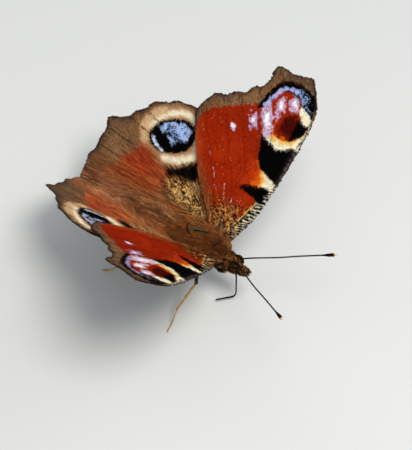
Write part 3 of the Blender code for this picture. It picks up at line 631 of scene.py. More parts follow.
def forewingColours(flat, seed, side):
    rng, flat, broad, fine, grain, dots, deepIn, within, near, speckle = brushes(
        flat, seed, forewingMarks, (3, 4, 6, 10), 0.11)
    s, c = flat.T
    left = side == "left"
    flow = np.column_stack([s * 0.82 + c * 0.57, c * 0.82 - s * 0.57])
    streak = noise(flow, (1.6, 0.16), 5)
    lines = forewingLines
    margin = depthInside(flat, wingOutline(forewing))
    veins = veinDistance(forewing, flat)
    colours, lay = baseCoat(len(flat), "red")
    lay(0.3 + 0.45 * broad, "redBright")
    lay(ramp(fine + 0.7 * streak, 0.2, 1.4) * 0.5, "redDark")
    lay(ramp(np.abs(s - 9.5) + 0.6 * broad, 2.0, 6.0) * 0.5, "redDark", 1.1)
    lay(ramp(c - 0.72 * s, 0.2, 2.4) * 0.55, "rust")      # along the inner margin
    # Gold and black powder at the root, thinning out along the wing
    root = 4.7 - s - 0.3 * np.abs(c + 1.0) + 0.5 * broad + 0.3 * fine
    base = ramp(root, -0.6, 2.8)
    lay(base * 0.45, (150, 70, 28))
    lay(ramp(root, -1.4, 1.2) * ramp(-dots, -0.06, 0.04) * 0.95, "black", 2)
    lay(ramp(root, -1.8, 1.2) * ramp(dots, 0.5 - 0.34 * base, 0.58 - 0.34 * base),
        (222, 158, 84) if left else (186, 118, 56))
    lay(ramp(0.9 - s + 0.2 * fine, 0, 0.9) * 0.75, "brown", 0.9)
    blueGrey = glowAt(flat, (0.85, -0.75), (1, 0), 0.55, 0.5)
    lay(ramp(blueGrey + 0.5 * fine, 0, 0.4) * 0.8, (56, 58, 62))
    innerHair = ramp(c - 0.9 * s + 0.4 * broad, -1.6, 0.9) * ramp(9.5 - s, 0, 5) * ramp(c, 0.6, 2.0)
    lay(innerHair * 0.65, "rust", 0.9)
    lay(innerHair * ramp(streak, 0.1, 0.9) * 0.55, "ringTan")
    # Costa, barred cream and black as far as the first patch
    innerLine = np.interp(s, [-1, 0, 1, 2, 3, 4, 5, 6, 7, 8, 9, 10.7],
                          [-1.55, -1.9, -2.15, -2.5, -2.85, -3.15, -3.45, -3.82, -4.08, -4.27, -4.35, -4.5])
    slanted = s + 0.32 * (c - innerLine) + 0.12 * fine
    bars = np.sin(2 * math.pi * np.interp(slanted, [-1, 3, 8, 10.7], [0, 9.0, 17.6, 23.6]) + 0.9 * broad)
    band = ramp(innerLine - c, -0.02, 0.08) * ramp(10.7 - s, 0.0, 0.12) * ramp(s, -0.4, 0.3)
    pale = ramp(bars + 0.35 * fine, 0.55, 0.69) * ramp(s, -0.4, 0.8)
    dusty = np.maximum(ramp((2.8 if left else 6.0) - s + fine, 0, 2.0),
                       ramp(0.5 - (innerLine - c), 0, 0.4) * ramp(6.5 - s, 0, 2))
    lay(band, "black")
    lay(band * pale, "cream", 1.05)
    lay(band * pale * dusty * 0.85, (222, 164, 84))
    lay(ramp(0.12 - np.abs(c - innerLine), 0, 0.05) * ramp(9.2 - s, 0, 0.4), "black")
    below = np.abs(c - innerLine - 0.2)
    lay(ramp(0.13 - below, 0, 0.06) * ramp(9.4 - s, 0, 0.6) * ramp(s, 0, 1), "gold", 1.25)
    lay(ramp(0.1 - np.abs(c - innerLine - 0.4), 0, 0.05) * ramp(7.2 - s, 0, 0.6) * 0.85, "brownDark")
    # Patch between the two black marks: cream at the costa, through yellow and orange to red
    patch = within("costaPatch", 0.1, 0.1)
    down = c + 0.4 * fine + 0.35 * (9.9 - s) * ramp(s, 9.6, 11.0)
    lay(patch * ramp(0.8 - c + 0.5 * fine, 0, 1.6), "redBright")
    lay(patch * ramp(-1.2 - down, 0.0, 1.1), "orange")
    lay(patch * ramp(-2.35 - down, 0.0, 0.6), "yellow")
    lay(patch * ramp(-2.85 - down, 0.0, 0.5), "cream")
    lay(within("wedge", 0.1, 0.16), "black")
    # Black field
    quad = within("quad", 0.08, 0.12)
    lay(quad, "black")
    lay(quad * ramp(-4.3 - c + 0.3 * broad, 0.0, 0.7) * 0.8, "brownBlack")
    lay(quad * ramp(-5.05 - c, 0.0, 0.2) * speckle(0.35), (108, 94, 100))
    # Eyespot of the forewing
    lay(within("eyeGround", 0.1, 0.1), "red")
    cream = within("creamBand", 0.07, 0.1)
    fringed = 0.45 * noise(flat, (0.5, 0.16), 8) - deepIn("disc")
    lay(cream, "cream")
    lay(cream * ramp(1.0 - fringed, 0.0, 0.5) * ramp(c, -5.0, -4.2), "yellow")
    disc = within("disc", 0.1, 0.12)
    deep = deepIn("disc") + 0.45 * noise(flat, (0.4, 0.18), 9)
    lay(disc * (1 - 0.75 * ramp(s, 18.0, 20.0)), "orange")
    lay(disc * ramp(deep, -0.02, 0.3), "red", 0.9)
    lay(disc * ramp(deep - 0.3 * (c + 1.6), 0.1, 1.3), "maroon")
    lay(disc * ramp(-3.0 - c + 0.35 * fine, 0.0, 0.7), "black")
    lay(ramp(deepIn("discTop") + 0.2 * fine, -0.3, 0.0), "black")
    outer = within("creamOuter", 0.08, 0.12)
    lay(outer, "cream")
    lay(outer * ramp(0.45 - fringed, 0.0, 0.3) * ramp(c, -3.9, -3.1), "orange")
    lay(within("spike", 0.1, 0.12), "black")
    # Lilac streaks with white cores, parted by red veins
    cores = {"lilacOne": ((18.4, 1.1), (0.88, 0.47), 1.5, 0.5),
             "lilacTwo": ((21.1, 0.3), (0.9, 0.44), 1.0, 0.36),
             "lilacThree": ((22.45, -1.55), (0.55, 0.83), 0.7, 0.45)}
    for name, (core, way, long, wide) in cores.items():
        lilac = within(name, 0.16, 0.32)
        # On the right wing the lilac is painted whiter and denser: painted sheen of scales seen aslant
        lay(lilac * speckle(0.84 if left else 0.95), "lilac" if left else (218, 192, 206))
        lay(lilac * speckle(0.2) * 0.6, "white")
        lay(lilac * ramp(glowAt(flat, core, way, long, wide) + 0.5 * fine, 0.05, 0.5), "white")
    # Black ring with powdery blue
    lay(ramp(deepIn("ring") + 0.1 * fine, -0.22, -0.1), "black")
    # On the right wing the blue is also painted thinner: painted sheen of scales seen aslant
    blue = near(lines["blue"], 0.4, 0.2, 0.2) * (1.0 if left else 0.6)
    lay(blue * ramp(dots, -0.8, -0.65), blueWithPaintedSheen(side))
    lay(blue * speckle(0.35), "lilac", 1.2)
    powder = within("powder", 0.2, 0.3)
    thin = 0.02 + 0.4 * ramp(-2.2 - c, 0, 1.2)
    lay(powder * ramp(dots, thin, thin + 0.12) * (0.95 if left else 0.3), blueWithPaintedSheen(side))
    for line in lines["red"]:
        lay(near(line, 0.12, 0.06), "red")
    lay(near(lines["redArc"], 0.26, 0.1, 0.16), "red")
    # Two lilac-white spots
    large = glowAt(flat, (17.25, 3.0), (0.78, 0.62), 1.45, 0.62)
    small = glowAt(flat, (15.05, 5.38), (0.55, 0.83), 0.75, 0.42)
    lay(ramp(large + 0.8 * fine, -0.25, 0.15) * speckle(0.88), "lilac")
    lay(ramp(large + 0.3 * fine, 0.45, 0.75), "white")
    lay(ramp(small + 0.5 * fine, -0.1, 0.1), "lilac", 1.15)
    lay(ramp(small + 0.4 * fine, 0.1, 0.4), "white")
    # Tan border and its dark edge
    border = within("border", 0.1, 0.16)
    wrinkle = noise(flow, (1.2, 0.15), 7)
    lay(border, "tan", 0.88)
    lay(border * ramp(broad + 0.5 * fine + 0.6 * wrinkle, 0.0, 0.9) * 0.8, "tanPale")
    lay(border * ramp(-broad + 0.6 * fine + 0.5 * wrinkle, 0.1, 1.1) * 0.7, "tanGrey")
    lay(border * ramp(0.35 * fine - wrinkle, 0.3, 0.65) * 0.75, "brownDark")
    lay(border * ramp(dots, 0.3, 0.5) * 0.4, (176, 132, 94))
    lay(border * ramp(-dots, 0.3, 0.5) * 0.35, "brownDark")
    lay(border * ramp(0.8 - margin + 0.3 * fine, 0, 0.8) * 0.5, "tanGrey", 0.55)
    lay(border * ramp(-4.7 - c, 0, 0.5) * ramp(grain, 0.0, 0.4) * 0.6, (168, 140, 140))
    lay(border * ramp(-4.7 - c, 0, 0.5) * ramp(-grain, 0.2, 0.5) * 0.8, "brownBlack")
    lay(near(lines["rim"], 0.3, 0.1, 0.12), "black")
    lay(border * ramp(0.1 - veins + 0.03 * fine, 0, 0.07) * 0.5, "brownDark")
    outerEdge = ramp(s + 0.55 * c, 17.0, 19.0)
    lay(outerEdge * ramp(0.24 - margin + 0.14 * fine, 0, 0.16) * 0.8, "edge")
    costa = ramp(-4.0 - c, 0, 0.3) * ramp(s, 10.6, 11.2) * (1 - ramp(s, 23.0, 24.5))
    lay(costa * ramp(0.15 - margin, 0, 0.1) * 0.7, "brownDark")
    tipCosta = ramp(-4.9 - c - 0.1 * ramp(s, 17.0, 20.0), 0, 0.15)
    tipCosta *= ramp(s, 16.4, 17.0) * (1 - ramp(s, 22.0, 23.0))
    lay(tipCosta * ramp(-dots, -0.05, 0.05) * 0.95, "brownBlack")
    lay(tipCosta * ramp(dots, 0.1, 0.25) * 0.9, "creamWarm")
    # Veins and worn scratches on the red
    ground = (1 - border) * (1 - quad) * ramp(s, 3.0, 5.0) * ramp(c, -2.6, -1.0)
    ground *= (1 - ramp(deepIn("eyeGround"), -0.2, 0.0)) * (1 - ramp(deepIn("ring"), -0.3, -0.1))
    lay(ground * ramp(0.09 - veins, 0, 0.07) * 0.45, "redDark", 0.8)
    lay(ground * ramp(-grain - 0.5 * streak, 0.35, 0.7) * 0.3, "maroon")
    for i, line in enumerate(lines["worn"] if left else []):
        pale = tone(206, 200, 204) if i < 4 else inks["ringTan"] * 1.1
        lay(near(line, 0.065, 0.04) * speckle(0.7 if i < 4 else 0.4) * 0.85, pale)
    besideMargin = ramp(2.2 - np.abs(c - 0.78 * s - 0.2), 0, 2.0)
    lay(ground * speckle(0.003 + 0.03 * besideMargin * ramp(broad, 0.0, 0.8)), "ringTan")
    # The right wing's colours are painted 10% lighter: painted light for a wing that lies aslant to the
    # light
    texture = (1 + 0.16 * np.clip(grain, -1, 1) + rng.normal(0, 0.09, len(flat))) * (1.0 if left else 1.1)
    return colours * texture[:, None]


def hindwingColours(flat, seed, side):
    rng, flat, broad, fine, grain, dots, deepIn, within, near, speckle = brushes(
        flat, seed, hindwingMarks, (13, 14, 18, 19), 0.12)
    s, c = flat.T
    left = side == "left"
    fan = np.column_stack([s - 0.06 * (c - 8) * (s - 2) / 4, c])
    streak = noise(fan, (0.15, 3.2), 15) + 0.6 * noise(fan, (0.08, 1.8), 16)
    lines = hindwingLines
    margin = depthInside(flat, wingOutline(hindwing))
    veins = veinDistance(hindwing, flat)
    colours, lay = baseCoat(len(flat), "rust", 1.2)
    lay(0.25 + 0.5 * broad, "brown", 1.3)
    lay(ramp(streak, 0.0, 0.8) * 0.55, "ringTan")
    lay(ramp(-streak, 0.15, 0.95) * 0.6, "brownDark")
    lay(ramp(2.5 - c, 0, 2.5) * 0.7, "brown", 1.15)
    # Orange-red field, streaked along the wing
    field = within("field", 0.45, 0.5)
    field *= ramp(s + 1.1 * streak, -1.6, 2.8) * ramp(c + 0.9 * streak, 7.0, 10.0)
    lay(field * 0.95, "field")
    deepRed = ramp(1.7 - np.abs(s - 3.9) * 0.7 + 0.4 * broad - 0.12 * np.abs(c - 12.2), 0, 1.4)
    lay(field * deepRed * 0.7, (160, 43, 17))
    lay(field * ramp(streak, 0.0, 0.8) * 0.65, (190, 110, 62))
    lay(field * ramp(-streak, 0.25, 1.0) * 0.5, "redDark", 0.7)
    # Gold and black powder behind the root
    gold = ramp(deepIn("gold") + 0.7 * fine + 0.5 * broad, -1.1, 1.5)
    gold *= 1.0 if left else 0.3
    lay(gold * 0.45, "brown", 0.8)
    lay(ramp(gold, 0.0, 0.4) * ramp(-dots, -0.08, 0.02) * 0.95, "black", 2)
    lay(ramp(gold, 0.0, 0.4) * ramp(dots, 0.5 - 0.42 * gold, 0.6 - 0.42 * gold), (232, 186, 110))
    beside = ramp(0.5 - np.abs(s - 0.35 + 0.1 * fine), 0, 0.4) * ramp(c, 4.5, 6.0) * ramp(13.0 - c, 0, 3.0)
    lay(beside * ramp(dots, 0.15, 0.3) * 0.8, (196, 132, 72))
    pale = near(lines["paleRoot"], 0.5, 0.5, 0.25) * ramp(c, 0.5, 2.5)
    lay(pale * ramp(streak, -0.2, 0.6) * 0.6, (186, 166, 150))
    # Pale ring round the eyespot, brightest on its inner and outer flanks
    ring = within("ring", 0.45, 0.2)
    lay(ring, "ringTan", 0.9)
    lay(ring * ramp(9.8 - s - 0.8 * (c - 10.4), 0, 4.0) * ramp(c, 10.0, 11.5) * 0.6, (150, 100, 62))
    for name, wide in (("creamInner", 1.0), ("creamOuter", 0.85)):
        distance = lineDistance(flat, curveThrough(lines[name], 0.5))
        lay(ring * ramp(wide - distance + 0.2 * fine, -0.1, 0.7), "creamWarm")
        lay(ring * ramp(wide * 0.62 - distance + 0.1 * fine, -0.1, 0.5) * 0.85, "cream")
    lay(ring * ramp(-streak, 0.3, 1.0) * 0.2, "tan")
    lowTan = ramp(1.2 - lineDistance(flat, lines["tanLow"]) + 0.2 * fine, 0, 0.9) * (1 - within("oval", 0.3))
    lay(lowTan * 0.85, (206, 170, 128))
    lay(near(lines["diagonal"], 0.1, 0.06) * 0.6, "brown")
    # Black smudge
    lay(within("smudge", 0.45, 0.35), "brownDark", 0.6)
    lay(ramp(deepIn("smudge") + 0.3 * streak, -0.15, 0.25), "black")
    # Eyespot
    oval = within("oval", 0.1, 0.12)
    lay(within("oval", 0.35, 0.2) * 0.55, "brown")
    lay(oval, "black")
    for name in ("blue", "blueLow", "blueDot"):
        rough = deepIn(name) - 0.1 + 0.15 * fine + 0.1 * rng.normal(0, 1, len(flat))
        here = ramp(rough, -0.06, 0.06) * oval
        lay(here * ramp(dots + 0.5 * fine, -0.7, -0.55), blueWithPaintedSheen(side))
        lay(here * ramp(dots, 0.35, 0.6) * 0.5, "white")
    specks = within("blueSpeck", 0.3, 0.4) * oval
    lay(specks * ramp(grain + 0.4 * broad, 0.25, 0.45) * 0.9, blueWithPaintedSheen(side))
    bar = lineDistance(flat, curveThrough(lines["bar"], 0.3)) - 0.1 * ramp(c, 11.0, 12.6)
    lay(ramp(0.17 - bar + 0.1 * fine, 0, 0.08) * speckle(0.92), (inks["blue"] + inks["white"]) / 2)
    # Border
    border = within("border", 0.6, 0.3)
    border = border * (1 - 0.9 * lowTan * ramp(margin, 0.3, 1.2))
    plain = border * (1 - ring)
    lay(border * (1 - 0.6 * ring), "tan", 1.05)
    lay(plain * ramp(broad + 0.6 * streak, 0.0, 1.0) * 0.6, "tanPale")
    lay(plain * ramp(-streak - 0.3 * broad, 0.2, 1.1) * 0.5, "brownDark", 1.3)
    lay(border * ramp(1.9 - margin + 0.5 * fine, 0, 1.7) * 0.7, "tanGrey", 0.85)
    lay(plain * ramp(dots, 0.35, 0.6) * 0.35, (172, 134, 98))
    lay(plain * ramp(-dots, 0.35, 0.6) * 0.35, "brownDark")
    lay(ramp(1.0 - margin + 0.3 * fine, 0, 1.0) * ramp(c + 1.1 * s, 17.0, 19.0) * 0.55, "brownDark", 1.5)
    dark = ramp(c + 0.35 * s, 14.5, 16.5) * (1 - oval) * ramp(deepIn("ring"), 0.6, 0.1) * border
    crossRing = ring * (1 - oval) * ramp(c - 0.2 * s, 10.9, 11.6)
    lay(np.maximum(dark, crossRing) * ramp(0.1 - veins + 0.02 * fine, 0, 0.06) * 0.85, "brownBlack")
    outerEdge = ramp(c + 1.1 * s, 16.0, 17.5)
    lay(outerEdge * ramp(0.22 - margin + 0.14 * fine, 0, 0.14) * 0.9, "edge", 0.8)
    if not left:
        lay(plain * 0.45, "tanGrey", 0.9)
    violet = ramp(0.11 - lineDistance(flat, [(5.55, 14.3), (5.65, 15.0)]), 0, 0.05)
    lay(violet * speckle(0.7) * 0.7, "lilac", 0.6)
    # Furry inner strip
    inner = ramp(0.7 - s + 0.5 * streak, 0, 2.2) * ramp(c, 1.0, 3.5)
    lay(inner * ramp(17.5 - c, 0, 2.0) * 0.7, "greyFur", 1.4)
    lay(inner * ramp(streak, 0.0, 0.8) * 0.6, (196, 150, 110))
    lay(inner * ramp(-streak, 0.2, 1.0) * 0.5, "brownDark")
    texture = (1 + 0.14 * np.clip(grain, -1, 1) + rng.normal(0, 0.09, len(flat))) * 1.07
    return colours * texture[:, None]


def undersideColours(wing, flat, seed):
    rng = np.random.default_rng(seed)
    count = len(flat)
    flat = flat + rng.normal(0, 0.05, (count, 2))
    away = np.linalg.norm(flat - np.array(wing["flowFrom"]), axis=1)
    turn = np.arctan2(flat[:, 1] + 3, flat[:, 0] + 4)
    waves = np.sin((away + 0.9 * noise(flat, 2.2, 21)) * 7.0) * (0.5 + 0.5 * noise(flat, 1.2, 22))
    broad = noise(flat, 2.6, 23)
    fine = noise(np.column_stack([away, turn * 9]), (0.25, 0.5), 24)
    colours, lay = baseCoat(count, (38, 31, 28))
    lay(ramp(broad, -0.2, 0.9) * 0.7, (62, 49, 41))
    lay(ramp(waves, 0.1, 0.9) * 0.75, (20, 16, 15))
    lay(ramp(fine, 0.4, 0.95) * 0.5, (86, 72, 60))
    margin = depthInside(flat, wingOutline(wing))
    band = ramp(2.6 - margin + 0.6 * broad, 0, 0.5) * ramp(away, 9.0, 13.0)
    lay(band * 0.55, (74, 60, 50))
    lay(ramp(0.25 - np.abs(margin - 2.6 - 0.5 * broad), 0, 0.2) * ramp(away, 9.0, 13.0) * 0.8, (14, 11, 11))
    lay(ramp(0.1 - veinDistance(wing, flat), 0, 0.06) * 0.5, (24, 19, 17))
    return colours * (1 + rng.normal(0, 0.12, (count, 1)))


forewing["colours"] = forewingColours
hindwing["colours"] = hindwingColours


# Templates for scales and hairs
def readTemplate(bm):
    bmesh.ops.triangulate(bm, faces=bm.faces[:])
    bmesh.ops.recalc_face_normals(bm, faces=bm.faces[:])
    bm.verts.ensure_lookup_table()
    points = np.array([v.co[:] for v in bm.verts])
    faces = np.array([[v.index for v in f.verts] for f in bm.faces])
    bm.free()
    return points, faces


def flakeTemplate():
    # A kite with a ridge: x across, y along from root to tip, z up
    bm = bmesh.new()
    bmesh.ops.create_cone(bm, cap_ends=True, segments=3, radius1=1, radius2=0, depth=1)
    bmesh.ops.remove_doubles(bm, verts=bm.verts[:], dist=1e-5)
    bm.verts.ensure_lookup_table()
    top = max(bm.verts, key=lambda v: v.co.z)
    low = [v for v in bm.verts if v is not top]
    for v, place in zip([*low, top], [(0, 0, 0), (-0.5, 0.72, 0.45), (0.5, 0.72, 0.45), (0, 1, 1.0)]):
        v.co = place
    return readTemplate(bm)


def hairTemplate(stations):
    # A three-sided tapering lock: stations are (place along, width)
    bm = bmesh.new()
    bmesh.ops.create_circle(bm, cap_ends=True, segments=3, radius=0.5)
    for v in bm.verts:
        v.co = (v.co.x * stations[0][1], 0.0, v.co.y * stations[0][1])
    ring = bm.edges[:]
    for (before, wideBefore), (after, wide) in zip(stations, stations[1:]):
        grown = bmesh.ops.extrude_edge_only(bm, edges=ring)["geom"]
        fresh = [g for g in grown if isinstance(g, bmesh.types.BMVert)]
        ring = [g for g in grown if isinstance(g, bmesh.types.BMEdge)]
        share = wide / wideBefore
        bmesh.ops.scale(bm, vec=(share, 1, share), verts=fresh)
        bmesh.ops.translate(bm, vec=(0, after - before, 0), verts=fresh)
    bmesh.ops.pointmerge(bm, verts=list({v for e in ring for v in e.verts}), merge_co=(0, 1, 0))
    return readTemplate(bm)


flake = flakeTemplate()
shortHair = hairTemplate([(0.0, 0.8), (0.5, 0.9), (0.98, 0.3)])
longHair = hairTemplate([(0.0, 0.7), (0.35, 1.0), (0.72, 0.7), (0.99, 0.2)])


def scatter(template, roots, along, up, length, width, height, colours, unwrap, curl=0.0):
    # Every copy follows its own root, direction, size and curl; the copies come back as one mesh
    shape, faces = template
    count, corners = len(roots), len(shape)
    across = unit(np.cross(along, up))
    length, width, height = (np.broadcast_to(v, count)[:, None] for v in (length, width, height))
    curl = np.broadcast_to(curl, (count, 3))
    t = shape[:, 1]
    points = (roots[:, None, :]
              + along[:, None, :] * (length * t)[:, :, None]
              + across[:, None, :] * (width * shape[:, 0])[:, :, None]
              + up[:, None, :] * (height * shape[:, 2])[:, :, None]
              + curl[:, None, :] * (length * t * t)[:, :, None])
    index = (np.arange(count) * corners)[:, None, None] + faces[None]
    patch = unwrap[:, None, :] + bakePatch * (shape[None, :, :2] * [0.9, 0.9] - [0.0, 0.45])
    tints = np.repeat(colours, corners, axis=0)
    return points.reshape(-1, 3), index.reshape(-1, 3), patch.reshape(-1, 2), tints


def coatPiece(name, parts, material):
    points, patches, tints = (np.vstack([part[k] for part in parts]) for k in (0, 2, 3))
    starts = np.cumsum([0] + [len(part[0]) for part in parts])
    faces = np.vstack([part[1] + start for part, start in zip(parts, starts)])
    mesh = meshFrom(name, points, faces)
    layer = mesh.uv_layers.new(name="OFBake")
    layer.uv.foreach_set("vector", np.ascontiguousarray(patches[faces.ravel()], np.float32).ravel())
    setTint(mesh, "tint", tints)
    addPiece(name, mesh, material, smooth=False)
    print(name, len(faces), "triangles")


# Wings: membranes and scales
scales = {
    "upper": {"across": 0.097, "along": 0.125, "width": 0.145, "length": 0.26, "lift": 0.038},
    "under": {"across": 0.180, "along": 0.225, "width": 0.27, "length": 0.45, "lift": 0.06},
}
fineScales = {"across": 0.062, "along": 0.08, "width": 0.09, "length": 0.15, "lift": 0.03}


def fineBand(label, flat):
    # The barred costa and the powdery roots take smaller scales
    if label == "hindwing":
        return depthInside(flat, hindwingMarks["gold"]) > -0.5
    inner = np.interp(flat[:, 0], [-1, 0, 5, 10.7], [-1.3, -1.6, -3.2, -4.3])
    return (flat[:, 1] < inner) & (flat[:, 0] < 10.8) | (flat[:, 0] + 0.3 * np.abs(flat[:, 1] + 1.0) < 4.6)


def scaleRoots(wing, rule, seed):
    rng = np.random.default_rng(seed)
    outline = wingOutline(wing)
    centre = np.array(wing["flowFrom"])
    far = np.linalg.norm(outline - centre, axis=1).max()
    spots = []
    row, radius = 0, 0.8
    while radius < far:
        step = rule["across"] / radius
        angles = np.arange(-1.2, 2.6, step) + (row % 2) * step / 2
        spots.append(np.column_stack([np.cos(angles), np.sin(angles)]) * radius + centre)
        radius += rule["along"]
        row += 1
    flat = np.vstack(spots)
    flat += rng.normal(0, 0.16, flat.shape) * rule["across"]
    low, high = outline.min(0), outline.max(0)
    flat = flat[np.all((flat > low) & (flat < high), axis=1)]
    return flat[depthInside(flat, outline) > 0.02], rng


def wingUnwrap(flat):
    return 0.08 + (flat + [3.0, 6.5]) / 36.0


def makeMembrane(label, wing, side, plan):
    flat = meshPoints(plan)[:, :2]
    mesh = plan.copy()
    mesh.name = label + "_membrane_" + side
    points = toRow(wingPlace(wing, side, flat))
    mesh.vertices.foreach_set("co", points.astype(np.float32).ravel())
    if side == "right":
        mesh.flip_normals()
    setTint(mesh, "upper", wing["colours"](flat, 71, side))
    setTint(mesh, "under", undersideColours(wing, flat, 72))
    piece = addPiece(mesh.name, mesh, membraneUpper, [f"{label}_{side}"])
    mesh.materials.append(membraneUnder)
    group = piece.vertex_groups.new(name="vein")
    for i, half in enumerate(halfThickness(wing, flat)):
        group.add([i], half / membrane["veinHalf"], "REPLACE")
    sheet = piece.modifiers.new("membrane", "SOLIDIFY")
    sheet.thickness = 2 * membrane["veinHalf"] * mm
    sheet.offset = 0.0
    sheet.vertex_group = "vein"
    sheet.material_offset = 1


def makeScales(label, wing, side):
    seed = seedOf(100, wing, side)
    for face, rule in scales.items():
        flat, rng = scaleRoots(wing, rule, seed)
        size = 1 + rng.normal(0, 0.1, len(flat))
        if face == "upper":
            band, rng = scaleRoots(wing, fineScales, seed)
            band = band[fineBand(label, band)]
            coarse = ~fineBand(label, flat)
            small = fineScales["length"] / rule["length"] * (1 + rng.normal(0, 0.1, len(band)))
            flat = np.vstack([flat[coarse], band])
            size = np.concatenate([size[coarse], small])
        angle = flowAngle(wing, flat) + rng.normal(0, 0.12, len(flat))
        here, along, up = wingFrame(wing, side, flat, angle)
        if face == "upper":
            colours, finish = wing["colours"](flat, seed + 1, side), scaleFinish
        else:
            up = -up
            colours, finish = undersideColours(wing, flat, seed + 1), underScaleFinish
        roots = here + up * (halfThickness(wing, flat) - 0.012)[:, None]
        lift = rule["lift"] * (1 + rng.normal(0, 0.25, len(flat)))
        made = scatter(flake, roots, along, up, rule["length"] * size, rule["width"] * size, lift,
                       colours, wingUnwrap(flat))
        coatPiece(f"{label}_scales_{face}_{side}", [made], finish)
        seed += 2


wings = {"forewing": forewing, "hindwing": hindwing}
for label, wing in wings.items():
    plan = wingPlan(wing)
    for side in sides:
        makeMembrane(label, wing, side, plan)
        makeScales(label, wing, side)
print("wings made")


# Wing hair and fringe
wingHair = {
    "hindwing": {"density": 76, "length": 1.2, "width": 0.05, "stand": 0.14},
    "forewing": {"density": 40, "length": 0.8, "width": 0.05, "stand": 0.15},
}
fringe = {"spacing": 0.085, "length": 0.34, "width": 0.13}


def hairCover(label, flat):
    s, c = flat[:, 0], flat[:, 1]
    if label == "hindwing":
        inner = ramp(2.6 - s, 0.0, 3.4)
        field = 0.3 * ramp(6.4 - s, 0.0, 2.0) * ramp(16.8 - c, 0.0, 2.5) * ramp(c, 5.0, 8.0)
        front = 0.35 * ramp(1.0 - np.abs(s - 3.9 - (c - 2.0) * 0.55), 0, 1) * ramp(7.5 - c, 0, 3.0)
        return np.maximum(np.maximum(inner, field), front) * ramp(20.4 - c, 0.0, 1.5)
    base = ramp(2.4 - s, 0.0, 2.2) * 0.8 * ramp(c, -1.8, -0.4)
    margin = ramp(c - 0.72 * s, -0.4, 0.8) * ramp(9.0 - s, 0.0, 5.0) * 0.8
    return np.maximum(base, margin)


def makeWingHair(label, wing, side):
    rule = wingHair[label]
    hind = label == "hindwing"
    seed = seedOf(300, wing, side)
    rng = np.random.default_rng(seed)
    outline = wingOutline(wing)
    low, high = outline.min(0), outline.max(0)
    tries = int(rule["density"] * np.prod(high - low))
    flat = low + rng.random((tries, 2)) * (high - low)
    flat = flat[(depthInside(flat, outline) > 0.05) & (rng.random(tries) < hairCover(label, flat))]
    s, c = flat.T
    count = len(flat)
    angle = flowAngle(wing, flat) + (rng.normal(0, 0.06, count) + 0.1 * noise(flat, 1.6, seed))
    here, along, up = wingFrame(wing, side, flat, angle)
    stand = np.abs(rng.normal(rule["stand"], 0.07, count))
    way = along * np.cos(stand)[:, None] + up * np.sin(stand)[:, None]
    length = rule["length"] * varied(rng, count)
    room = 0.55 * np.maximum(depthInside(flat, outline), 0.0) + 0.7
    shade = rng.choice([0.45, 0.85, 1.2, 1.75], count, p=[0.24, 0.28, 0.28, 0.2])
    colours = 0.65 * wing["colours"](flat, seed + 1, side)
    colours += 0.35 * (tone(176, 98, 50) if hind else inks["brown"] * 1.3)
    if hind:
        length *= 1 + 0.7 * ramp(1.4 - s, 0, 2.0) + 0.4 * ramp(4.0 - c, 0, 3.0)
        # Hair of the inner strip leans over the abdomen and across the middle behind it
        start = np.interp(c, *np.array(wing["fold"]).T)
        strip = (ramp(start + 0.5 - s, 0, 0.9) * ramp(19.5 - c, 0, 2.0) * ramp(c, 0.8, 2.5))[:, None]
        behind = ramp(c, 11.5, 13.0)[:, None] * strip
        way += strip * [-0.55 * sides[side], 0.0, 0.5] + behind * [-0.3 * sides[side], 0.0, -0.1]
        way = unit(way)
        room += 0.8 * strip[:, 0]
        paint(colours, ramp(depthInside(flat, hindwingMarks["smudge"]), -0.5, 0.1), "black", 2)
        paint(colours, 0.35 * ramp(2.0 - lineDistance(flat, [(2.0, 0.5), (3.6, 4.5)]), 0, 1.5), "ringTan")
    curl = -up * (0.5 * np.sin(stand) + 0.02)[:, None]
    made = scatter(longHair, here + up * 0.07, way, up, np.minimum(length, room),
                   rule["width"] * varied(rng, count), rule["width"] * 0.7, colours * shade[:, None],
                   wingUnwrap(flat), curl)
    coatPiece(f"{label}_hair_{side}", [made], hairFinish)


def makeFringe(label, wing, side):
    seed = seedOf(500, wing, side)
    rng = np.random.default_rng(seed)
    outline = wingOutline(wing)
    closed = np.vstack([outline, outline[:1]])
    length = np.concatenate([[0], np.cumsum(np.linalg.norm(np.diff(closed, axis=0), axis=1))])
    spots = np.arange(0, length[-1], fringe["spacing"])
    flat, ahead = (np.column_stack([np.interp(at, length, closed[:, i]) for i in (0, 1)])
                   for at in (spots, (spots + 0.1) % length[-1]))
    s, c = flat.T
    away = flat - np.array(wing["flowFrom"])
    outward = np.arctan2(flat[:, 0] - ahead[:, 0], ahead[:, 1] - flat[:, 1])
    outward[np.cos(outward) * away[:, 0] + np.sin(outward) * away[:, 1] < 0] += math.pi
    if label == "forewing":
        keep = (s + 0.4 * c > 15.5) & (c > -4.6)
    else:
        keep = (c + s > 15.0) & (c > 7.0) | (c > 19.0)
    keep &= np.linalg.norm(away, axis=1) > 8
    outward = np.repeat(outward[keep], 2) + rng.normal(0, 0.16, 2 * keep.sum())
    inset = np.repeat(flat[keep], 2, axis=0) - np.column_stack([np.cos(outward), np.sin(outward)]) * 0.12
    here, along, up = wingFrame(wing, side, inset, outward)
    count = len(inset)
    lift = np.where(np.arange(count) % 2 == 0, 0.05, -0.05)
    size = 0.7 + 0.5 * rng.random(count) + 0.35 * noise(inset, 0.35, seed + 1)
    colours = inks["edge"] * (0.75 + 0.25 * rng.random((count, 1)))
    paint(colours, ramp(noise(inset, 1.1, seed), -0.1, 0.6) * 0.7, "tanGrey", 1.2)
    made = scatter(flake, here + up * lift[:, None], along, up * np.sign(lift)[:, None],
                   fringe["length"] * size, fringe["width"] * size, 0.02, colours, wingUnwrap(inset))
    coatPiece(f"{label}_fringe_{side}", [made], scaleFinish)


for label, wing in wings.items():
    for side in sides:
        makeWingHair(label, wing, side)
        makeFringe(label, wing, side)
print("wing hair made")


